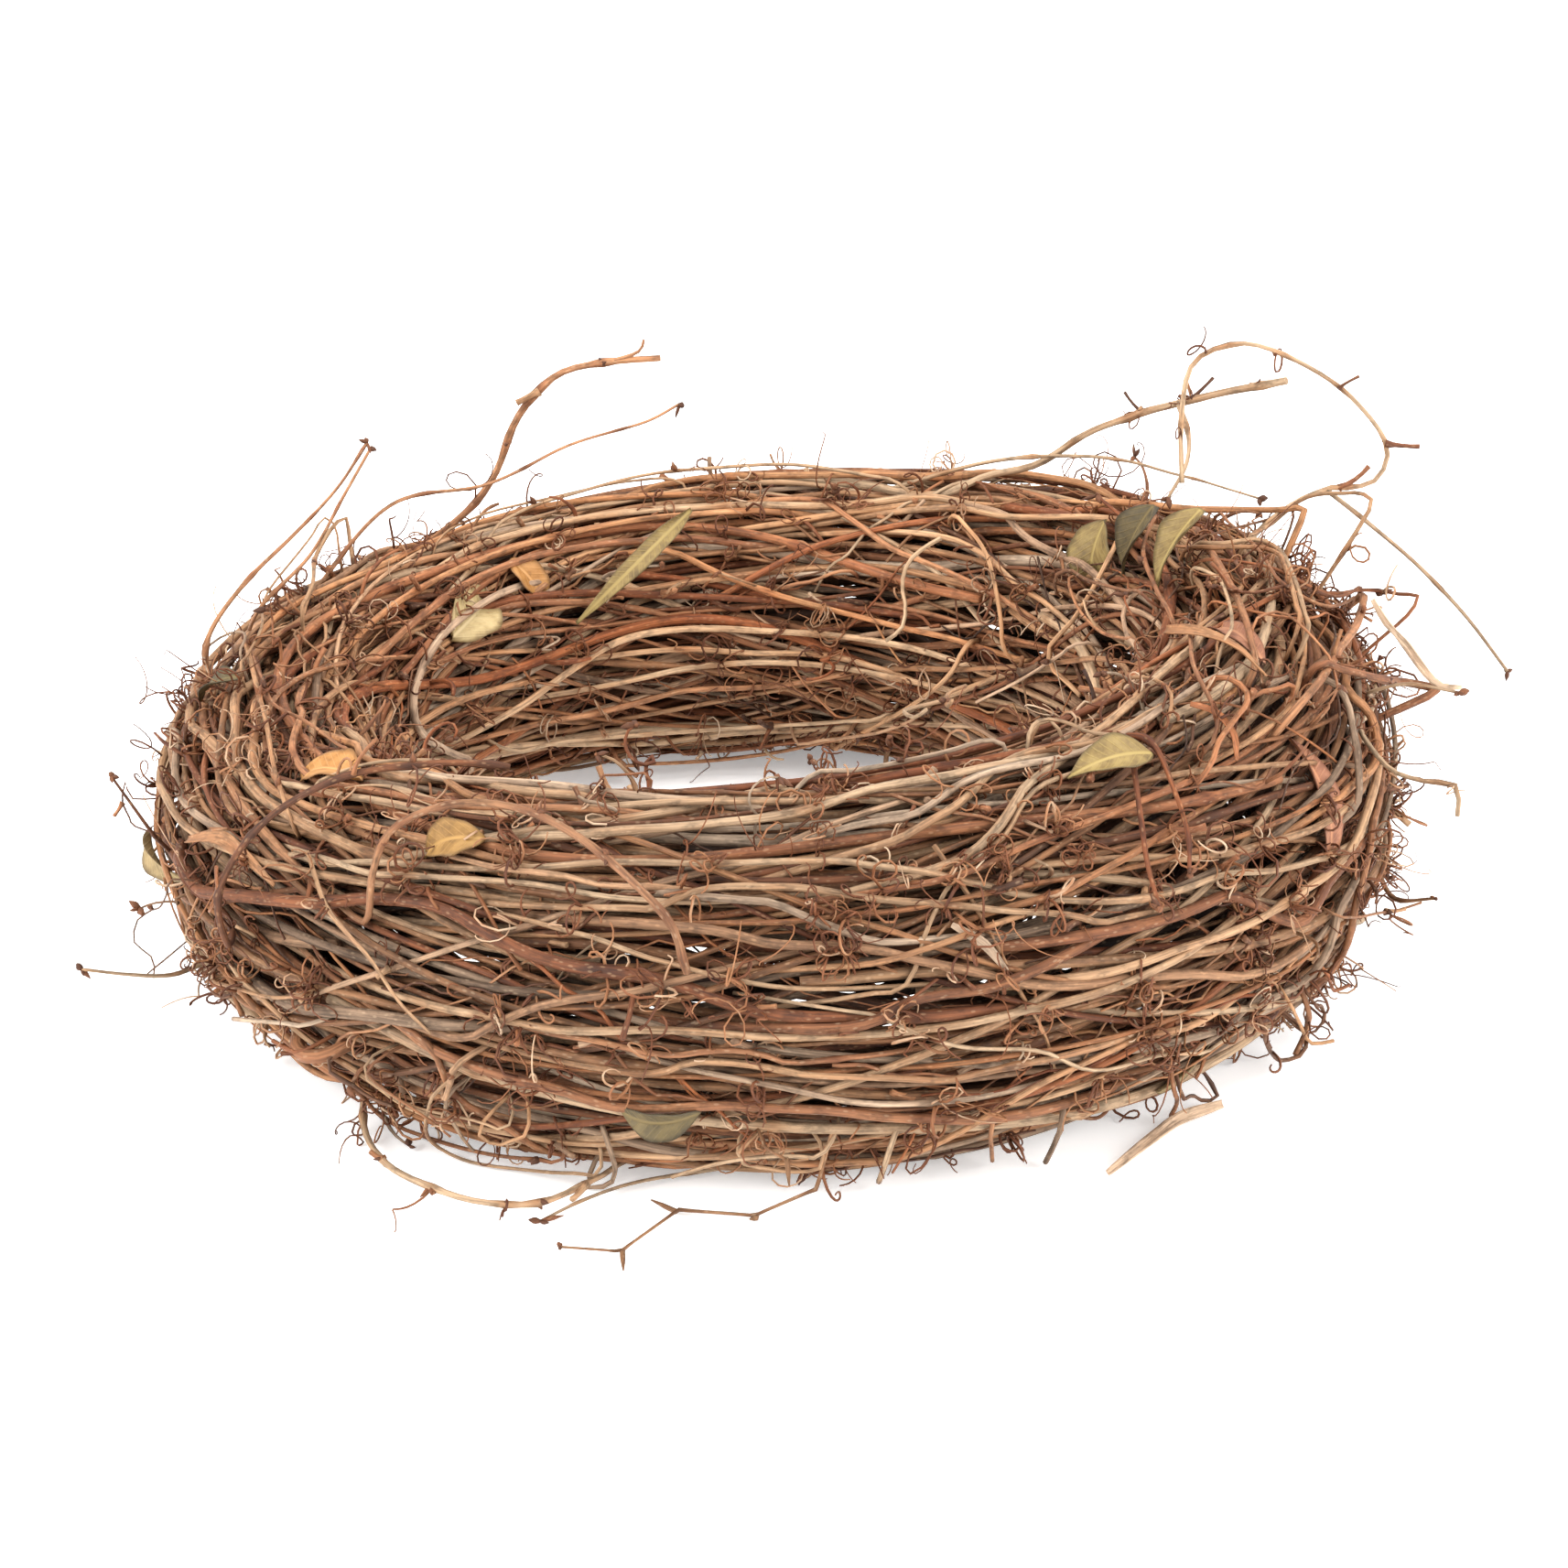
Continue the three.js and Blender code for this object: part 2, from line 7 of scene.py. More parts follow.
import bpy
import numpy as np
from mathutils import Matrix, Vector


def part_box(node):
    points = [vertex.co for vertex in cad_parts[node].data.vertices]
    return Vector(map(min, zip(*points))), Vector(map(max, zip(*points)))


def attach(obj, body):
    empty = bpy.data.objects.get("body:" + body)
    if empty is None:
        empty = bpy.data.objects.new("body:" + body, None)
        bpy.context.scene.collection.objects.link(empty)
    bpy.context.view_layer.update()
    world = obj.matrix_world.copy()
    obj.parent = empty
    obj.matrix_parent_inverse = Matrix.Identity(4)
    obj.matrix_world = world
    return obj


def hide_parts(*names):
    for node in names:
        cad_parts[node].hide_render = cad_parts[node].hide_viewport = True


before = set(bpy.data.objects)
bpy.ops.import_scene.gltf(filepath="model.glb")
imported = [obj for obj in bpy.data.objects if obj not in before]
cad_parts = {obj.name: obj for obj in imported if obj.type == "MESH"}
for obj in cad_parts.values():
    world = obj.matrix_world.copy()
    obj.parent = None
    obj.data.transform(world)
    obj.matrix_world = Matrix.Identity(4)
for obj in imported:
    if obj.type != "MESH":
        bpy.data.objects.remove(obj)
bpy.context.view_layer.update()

# The camera stands in front of the wreath and looks down on it by some 24 degrees, as in the
# photograph. Its place, its aim and its view in pixels also serve to read where a cane lies.
camera_place = np.array([-7.9, -909.3, 438.85])
camera_aim = np.array([-7.9, 7.1, 38.5])
focal_pixels = 4520.0
picture_pixels = 1713.0
sensor_millimetres = 36.0

camera_forward = (camera_aim - camera_place) / np.linalg.norm(camera_aim - camera_place)
camera_right = np.array([1.0, 0.0, 0.0])
camera_up = np.cross(camera_right, camera_forward)
camera_data = bpy.data.cameras.new("camera")
camera_data.sensor_width = sensor_millimetres
camera_data.lens = sensor_millimetres * focal_pixels / picture_pixels
camera_data.clip_start = 0.05
camera = bpy.data.objects.new("camera", camera_data)
camera.location = camera_place * 0.001
camera.rotation_euler = (math.atan2(camera_forward[1], -camera_forward[2]), 0.0, 0.0)
bpy.context.collection.objects.link(camera)
bpy.context.scene.camera = camera


def unit(vectors):
    """The same directions with a length of one each."""
    return vectors / np.linalg.norm(vectors, axis=-1)[..., None]


def sight_lines(pixels):
    """Directions from the camera through pixels of the photograph: one unit forward, and to the
    right and up by the pixel's distance from the middle over the focal length."""
    across = (pixels[:, 0] - picture_pixels / 2) / focal_pixels
    down = (pixels[:, 1] - picture_pixels / 2) / focal_pixels
    return unit(camera_forward + across[:, None] * camera_right - down[:, None] * camera_up)


# The bundle. The canes are wound into a ring whose section is a standing ellipse that rests
# on the floor, somewhat thicker at the right and at the front.
millimetres_per_pixel = 0.221
ring_radius = 116.0
ring_shift = np.array([-13.8, 7.1, 0.0])
height_to_width = 1.26


def half_width(phi):
    """Half the bundle's width at the angle phi round the ring: a constant and one slow wave."""
    return 32.0 + 4.0 * np.cos(phi) - 2.0 * np.sin(phi)


def ring_point(phi, theta, depth):
    """The point at phi round the ring and theta round the bundle, so deep under its surface:
    an ellipse whose half axes are less by the depth, carried round a circle."""
    half = half_width(phi)
    out = ring_radius + (half - depth) * np.cos(theta)
    up = height_to_width * half + (height_to_width * half - depth) * np.sin(theta)
    return np.stack([out * np.cos(phi), out * np.sin(phi), up], axis=-1) + ring_shift


def ring_place(points):
    """The reverse: phi, theta and the share of the way from the bundle's middle to its
    surface, from the point's distances to the ring's axis and to the floor."""
    flat = points - ring_shift
    phi = np.arctan2(flat[..., 1], flat[..., 0])
    half = half_width(phi)
    out = (np.hypot(flat[..., 0], flat[..., 1]) - ring_radius) / half
    up = (flat[..., 2] - height_to_width * half) / (height_to_width * half)
    return phi, np.arctan2(up, out), np.hypot(out, up)


def ring_normal(phi, theta):
    """The direction square to the bundle's surface, outwards."""
    out = height_to_width * np.cos(theta)
    return unit(np.stack([out * np.cos(phi), out * np.sin(phi), np.sin(theta) + 0 * phi],
                         axis=-1))


def on_ring(pixels, depth):
    """Where the sight lines through the pixels first meet the bundle's surface at that depth:
    each line is tried in steps of 1 mm from before the wreath to behind it, and its innermost
    place is taken if it only passes."""
    lines = sight_lines(pixels)
    steps = np.arange(720.0, 1200.0, 1.0)
    tried = camera_place + lines[:, None, :] * steps[None, :, None]
    phi, _, share = ring_place(tried)
    limit = 1.0 - depth / half_width(phi)
    inside = share < limit
    first = np.where(inside.any(axis=1), inside.argmax(axis=1), (share - limit).argmin(axis=1))
    rows = np.arange(len(pixels))
    return tried[rows, first]


def read_off(pixels, depth, lowest=1.5):
    """Where a stem read off the photograph runs: on_ring, without a leap across the ring's hole.
    A place more than 25 mm and 3.2 times its pixels' distance from the one before is put at the
    surface where its sight line passes nearest to that one. It is tried from both ends, and the
    shorter line is kept. What would lie under the floor is put on the floor in the same line."""
    pixels = np.array(pixels, dtype=float).reshape(-1, 2)
    lines = sight_lines(pixels)
    ways = []
    for order in (list(range(len(pixels))), list(range(len(pixels)))[::-1]):
        places = on_ring(pixels, depth)
        for before, here in zip(order, order[1:]):
            apart = np.linalg.norm(pixels[here] - pixels[before]) * millimetres_per_pixel
            if np.linalg.norm(places[here] - places[before]) > 3.2 * apart + 25:
                reach = (places[before] - camera_place) @ lines[here]
                phi, theta, _ = ring_place(camera_place + reach * lines[here])
                places[here] = ring_point(phi, theta, depth)
        ways.append(places)
    places = min(ways, key=lambda way: np.linalg.norm(np.diff(way, axis=0), axis=1).sum())
    low = places[:, 2] < lowest
    reach = (lowest - camera_place[2]) / lines[low, 2]
    places[low] = camera_place + reach[:, None] * lines[low]
    return places


# The wound canes. Each is a stem about two turns long, and lies in a layer of its own that
# climbs round the bundle, so that the layers cross. Vine canes are round, 2 to 4 mm thick,
# a little crooked, and swollen at the nodes where leaves and tendrils grew.
degree = math.pi / 180.0
steps_per_turn = 28
layers = {
    "outermost": dict(turns=8, climb=-3, start=28, depth=1.35, wander=2.6,
                      sway=[(2, 0, 2.0, 0.4), (5, 0, 2.4, 2.1), (3, 1, 2.0, 4.0)]),
    "outer": dict(turns=20, climb=7, start=5, depth=5.9, wander=0.45,
                  sway=[(2, 0, 3.0, 1.0), (4, 0, 3.4, 3.3), (6, 0, 2.4, 0.2), (2, 1, 1.6, 5.0),
                        (4, -1, 1.2, 2.2)]),
    "middle": dict(turns=16, climb=-5, start=9, depth=11.3, wander=0.4,
                   sway=[(2, 0, 3.4, 2.5), (3, 0, 3.6, 0.7), (5, 0, 3.0, 4.4), (3, 1, 1.2, 1.1)]),
    "inner": dict(turns=10, climb=3, start=20, depth=16.9, wander=0.4,
                  sway=[(3, 0, 2.6, 5.2), (5, 0, 1.8, 1.7), (2, 1, 0.9, 3.0)]),
    "core": dict(turns=6, climb=-1, start=12, depth=22.6, wander=0.3,
                 sway=[(2, 0, 1.4, 0.9), (4, 0, 1.0, 3.8)]),
}
winding = [
    ("outer", [1.3, 1.15, 1.0, 1.45, 1.2], ["tan", "brown", "tan", "grey", "brown"]),
    ("middle", [1.5, 1.3, 1.7], ["brown", "grey", "dark"]),
    ("inner", [1.8, 1.6], ["dark", "brown"]),
    ("core", [1.9], ["dark"]),
]
draw_seed = 4127


def draw(low, high):
    """The next number of a seeded row between low and high, the same row as the CAD part's."""
    global draw_seed
    draw_seed = draw_seed * 16807 % 2147483647
    return low + (high - low) * draw_seed / 2147483647


def winding_angles(layer, turn):
    """phi and theta after so many turns: theta climbs evenly, with waves on top in millimetres
    that are divided by the section's reach."""
    phi = 2 * math.pi * np.asarray(turn, dtype=float)
    steady = layer["start"] * degree + layer["climb"] / layer["turns"] * phi
    moved = layer["wander"] * (np.sin(1.37 * phi + layer["start"]) + np.sin(3.19 * phi + 1.3))
    for ring_waves, bundle_waves, size, phase in layer["sway"]:
        moved = moved + size * np.sin(ring_waves * phi + bundle_waves * steady + phase)
    return phi, steady + moved / (1.1 * half_width(phi) - layer["depth"])


def winding_line(layer, start, end):
    """Points of the layer's line at the cane's two ends and at every step between them."""
    first = math.ceil(start * steps_per_turn + 0.1)
    last = math.ceil(end * steps_per_turn - 0.1)
    turns = np.concatenate([[start], np.arange(first, last) / steps_per_turn, [end]])
    return turns, ring_point(*winding_angles(layer, turns), layer["depth"])


def curve_between(points, piece, u):
    """Points of a smooth curve, a share u along the given piece of it: Hermite pieces whose
    slopes follow from the square roots of the distances between the points."""
    gaps = np.sqrt(np.maximum(np.linalg.norm(np.diff(points, axis=0), axis=1), 1e-6))
    knots = np.concatenate([[0.0], np.cumsum(gaps)])
    chord = np.diff(points, axis=0) / gaps[:, None]
    slope = np.empty_like(points)
    slope[0], slope[-1] = chord[0], chord[-1]
    both = (points[2:] - points[:-2]) / (knots[2:] - knots[:-2])[:, None]
    slope[1:-1] = chord[:-1] - both + chord[1:]
    gap, u = gaps[piece][:, None], u[:, None]
    return (points[piece] * (2 * u**3 - 3 * u**2 + 1) + slope[piece] * gap * (u**3 - 2 * u**2 + u)
            + points[piece + 1] * (3 * u**2 - 2 * u**3) + slope[piece + 1] * gap * (u**3 - u**2))


def length_along(points):
    """The length of one line, or of each of several lines, up to each of its points."""
    steps = np.linalg.norm(np.diff(points, axis=-2), axis=-1)
    return np.concatenate([np.zeros(steps.shape[:-1] + (1,)), np.cumsum(steps, axis=-1)], axis=-1)


def values_at(places, length, values):
    """What lies at places along a line, worked out between the points where it is known."""
    return np.stack([np.interp(places, length, values[:, axis]) for axis in range(3)], axis=-1)


def smooth_line(points, spacing):
    """The smooth curve through the points at an even spacing: it is worked out finely, and
    read off again by its length."""
    points = np.asarray(points, dtype=float)
    at = np.linspace(0.0, len(points) - 1, 8 * len(points))
    piece = np.minimum(at.astype(int), len(points) - 2)
    fine = curve_between(points, piece, at - piece)
    length = length_along(fine)
    even = np.linspace(0.0, length[-1], max(3, int(round(length[-1] / spacing)) + 1))
    return values_at(even, length, fine)


def with_middles(points, after):
    """The points, with the middle of the smooth curve put in after each of the listed ones."""
    after = np.array(after, dtype=int)
    middles = curve_between(points, after, np.full(len(after), 0.5))
    return np.insert(points, after + 1, middles, axis=0)


# cad_canes holds each cane's node, route, thickness and finish. rods holds what later growth
# has to keep clear of: node, whether it is the cane itself, line and radius.
cad_canes = []
rods = []
cut_gap = 0.15
rod_radii = {"outer": 2.4, "middle": 2.5, "inner": 2.6, "core": 2.6}
for name, radii, finishes in winding:
    layer = layers[name]
    count = round(layer["turns"] / 2)
    cuts = [math.floor((2 * n + draw(0, 0.9)) * steps_per_turn + 0.5) / steps_per_turn
            for n in range(count)]
    cuts.append(cuts[0] + layer["turns"])
    for n in range(count):
        start = cuts[n] + cut_gap / steps_per_turn
        end = cuts[n + 1] - cut_gap / steps_per_turn
        turns, points = winding_line(layer, start, end)
        node = f"{name}_cane_{n + 1}"
        rods.append((node, True, points, rod_radii[name]))
        cad_canes.append(dict(node=node, layer=layer, turns=turns, points=points, growth=[],
                              radius=radii[n % len(radii)],
                              finish=finishes[n % len(finishes)]))

# The outermost canes, whose free ends spring out as twigs and loops. head and tail are listed
# from the ring outwards and measured from the ring's middle, and a shoot is a side twig that
# grows at a turn of the cane or at a point of its head or tail.
outermost_canes = [
    dict(node="cane_with_floor_loop", start=0.717, end=1.45, finish="tan", head_radius=1.1,
         head=[(-34, -137, 6), (-46, -147, 6), (-59, -146, 5.5), (-70, -138, 4.5),
               (-80, -126, 3.6), (-86, -112, 3.4), (-88, -98, 5)],
         shoots=[(("at", 0.75), 0.9, [(-26, -131, 1.8), (-37, -138, 1.3), (-46, -147, 1.2)])]),
    dict(node="cane_right_rear", start=1.49, end=2.15, finish="brown", shoots=[]),
    dict(node="cane_with_tall_right_twig", start=2.182, end=2.35, finish="tan",
         head_radius=1.5,
         head=[(58, 100, 82), (71, 97, 86), (86, 88, 99), (105, 76, 110), (117, 68, 116),
               (130, 60, 121)],
         shoots=[(("head", 3), 1.1, [(107, 66, 105), (106, 58, 100), (101, 50, 94)]),
                 (("at", 2.2), 0.9, [(58, 96, 87), (75, 90, 91), (91, 80, 94), (106, 68, 93),
                                     (124, 55, 92)])]),
    dict(node="cane_with_tall_left_twigs", start=2.373, end=2.65, finish="brown",
         head_radius=1.4, tail_radius=1.3,
         head=[(-76, 86, 77), (-68, 84, 88), (-61, 80, 105), (-51, 76, 117), (-39, 74, 121),
               (-25, 72, 123)],
         tail=[(-81, -122, 71), (-76, -126, 83), (-64, -126, 89), (-50, -130, 90),
               (-35, -140, 87), (-25, -149, 82), (-17, -154, 74), (-14, -153, 63)],
         shoots=[(("head", 4), 0.9, [(-30, 72, 125), (-29, 71, 128)]),
                 (("at", 2.42), 0.9, [(-93, 70, 85), (-69, 68, 91), (-48, 66, 102),
                                      (-28, 64, 109), (-20, 63, 114)]),
                 (("at", 2.5), 1.1, [(-131, 0, 76), (-123, 4, 88), (-111, 10, 99),
                                      (-100, 14, 110), (-93, 16, 120)]),
                 (("at", 2.46), 0.9, [(-119, 12, 81), (-108, 18, 91), (-99, 21, 106),
                                      (-93, 24, 116)])]),
    dict(node="cane_front_right", start=2.76, end=3.75, finish="tan",
         shoots=[(("at", 2.95), 1.0, [(146, -55, 34), (154, -64, 38)])]),
    dict(node="cane_with_red_fork", start=3.79, end=4.862, finish="brown",
         shoots=[(("at", 4.86), 0.9, [(79, -99, 92), (81, -117, 84), (82, -131, 77),
                                       (84, -139, 71)]),
                 (("at", 4.86), 0.8, [(84, -98, 92), (89, -112, 85), (91, -122, 79),
                                      (91, -128, 74)])]),
    dict(node="cane_with_high_loop", start=4.88, end=5.05, finish="tan", tail_radius=0.95,
         tail=[(132, 48, 93), (140, 50, 96), (152, 52, 98), (155, 54, 105), (146, 54, 118),
               (132, 52, 128), (116, 50, 134), (106, 47, 130), (103, 44, 118), (103, 38, 102)],
         shoots=[(("tail", 1), 1.0, [(150, 38, 91), (161, 28, 84), (171, 20, 75),
                                     (181, 12, 63)])]),
    dict(node="cane_with_dark_arc", start=5.09, end=5.6, finish="dark", tail_radius=1.2,
         tail=[(-116, -99, 43), (-117, -102, 56), (-107, -104, 74), (-90, -104, 85),
               (-70, -102, 88), (-53, -100, 86)],
         shoots=[(("at", 5.55), 0.9, [(-139, -52, 50), (-143, -53, 57), (-147, -54, 64)])]),
    dict(node="cane_with_floor_twig", start=5.64, end=7.1, finish="tan",
         shoots=[(("at", 5.768), 0.9, [(13, -147, 9), (0, -145, 1.6), (-17, -143, 1.3),
                                       (-28, -160, 1.3), (-41, -158, 1.3)])]),
    dict(node="cane_front_top", start=7.14, end=7.9, finish="brown", shoots=[]),
    dict(node="cane_with_right_twigs", start=7.95, end=8.6, finish="tan", head_radius=0.95,
         head=[(143, -60, 68), (149, -66, 68), (156, -70, 68), (156, -74, 63)],
         shoots=[(("at", 7.98), 0.95, [(140, -44, 81), (147, -54, 87), (157, -60, 87)]),
                 (("at", 8.564), 0.9, [(-136, -62, 18), (-144, -66, 20), (-154, -70, 23)])]),
]
outermost_radius = 1.9
for entry in outermost_canes:
    layer = layers["outermost"]
    turns, wound = winding_line(layer, entry["start"], entry["end"])
    head = np.array(entry.get("head", []), dtype=float).reshape(-1, 3) + ring_shift
    tail = np.array(entry.get("tail", []), dtype=float).reshape(-1, 3) + ring_shift
    line = np.concatenate([head[::-1], wound, tail])
    radius = np.concatenate([np.full(len(head), entry.get("head_radius", outermost_radius)),
                             np.full(len(wound), outermost_radius),
                             np.full(len(tail), entry.get("tail_radius", outermost_radius))])
    last_wound = len(head) + len(wound) - 1
    free = list(range(len(head))) + list(range(last_wound, len(line) - 1) if len(tail) else [])
    rods.append((entry["node"], True, with_middles(line, free), outermost_radius))
    growth = []
    for (kind, place), shoot_radius, through in entry["shoots"]:
        if kind == "at":
            root = ring_point(*winding_angles(layer, place), layer["depth"])
        else:
            root = (head if kind == "head" else tail)[place]
        shoot = np.concatenate([[root], np.array(through) + ring_shift])
        growth.append((shoot, shoot_radius))
        rods.append((entry["node"], True, with_middles(shoot, range(len(through))), shoot_radius))
    cad_canes.append(dict(node=entry["node"], layer=layer, turns=turns, points=wound, line=line,
                          radius=radius, finish=entry["finish"], growth=growth))

# Hooks and curled tendrils that grow from the outer canes, spread evenly round the ring. They
# are the stubs of side shoots and dried tendrils, and each keeps clear of the other canes.
# Multiples of the golden share, less their whole turns, spread evenly over a turn.
golden_share = 0.618034
growing = [cane for cane in cad_canes if cane["layer"] in (layers["outer"], layers["outermost"])]
growing_roots = [(cane, n) for cane in growing for n in range(1, len(cane["points"]) - 1)]
growing_points = np.concatenate([cane["points"][1:-1] for cane in growing])
above_floor, between_rods = 0.3, 0.35


def rods_apart(line, radius, own_node):
    """True if the line stays clear of the floor and of all rods but its own cane: the distance
    from places along it to every piece of every rod, less both radii."""
    shares = np.arange(3 * (len(line) - 1) + 1) / 3.0
    piece = np.minimum(shares.astype(int), len(line) - 2)
    places = line[piece] + (line[piece + 1] - line[piece]) * (shares - piece)[:, None]
    if (places[:, 2] < radius + above_floor).any():
        return False
    near = [rod for rod in rods if not (rod[1] and rod[0] == own_node)]
    first = np.concatenate([rod[2][:-1] for rod in near])
    along = np.concatenate([rod[2][1:] for rod in near]) - first
    reach = radius + between_rods + np.concatenate([np.full(len(rod[2]) - 1, rod[3])
                                                    for rod in near])
    offset = places[:, None, :] - first[None, :, :]
    share = np.clip((offset * along).sum(axis=2) / (along**2).sum(axis=1), 0.0, 1.0)
    gap = np.linalg.norm(offset - share[..., None] * along, axis=2)
    return not (gap < reach).any()


def hook_line(root, normal, tangent, side):
    """A stub that rises from the cane and leans over, more and more."""
    lean_way = -1 if draw(0, 1) < 0.5 else 1
    reach = draw(10, 15)
    lean = lean_way * draw(3, 8)
    slip = draw(-4, 4)
    rise = np.array([0.0, 0.55, 0.9, 1.0])[:, None] * reach
    over = np.array([0.0, 0.2, 1.0, 1.7])[:, None] * lean
    aside = np.array([0.0, 0.0, 0.5, 1.0])[:, None] * slip
    return root + rise * normal + over * tangent + aside * side


def curl_line(root, normal, tangent, side):
    """A tendril that rises in one and a half loops, which widen at first."""
    loops = draw(1.1, 1.5)
    loop_radius = draw(2.4, 3.4)
    first = draw(0, 2 * math.pi)
    drift = draw(-5, 5)
    part = (np.arange(1, 12) / 11)[:, None]
    angle = first + 2 * math.pi * loops * part
    grown = loop_radius * np.minimum(1, 2.5 * part)
    line = (root + (4 + 9 * part + grown * np.cos(angle)) * normal
            + (drift * part + grown * np.sin(angle)) * tangent
            + 4 * part * math.copysign(1, drift) * side)
    return np.concatenate([[root], line])


def surface_axes(phi, theta):
    """The directions outwards, on round the ring, and across it, at one place."""
    normal = ring_normal(phi, theta)
    tangent = np.array([-math.sin(phi), math.cos(phi), 0.0])
    return normal, tangent, np.cross(normal, tangent)


hook_count, most_tries = 66, 4000
grown = 0
for tried in range(most_tries):
    if grown == hook_count:
        break
    phi = 2 * math.pi * ((grown + 1) * golden_share % 1) + draw(-0.12, 0.12)
    theta = draw(-0.75, 1.25) * math.pi
    wanted = ring_point(phi, theta, 3)
    cane, index = growing_roots[np.linalg.norm(growing_points - wanted, axis=1).argmin()]
    root = cane["points"][index]
    axes = surface_axes(*winding_angles(cane["layer"], cane["turns"][index]))
    curls = grown % 10 < 3
    line = (curl_line if curls else hook_line)(root, *axes)
    radius = 0.6 if curls else 0.8
    if not rods_apart(line, radius, cane["node"]):
        continue
    rods.append((cane["node"], False, line, radius))
    cane["growth"].append((line, radius))
    grown += 1

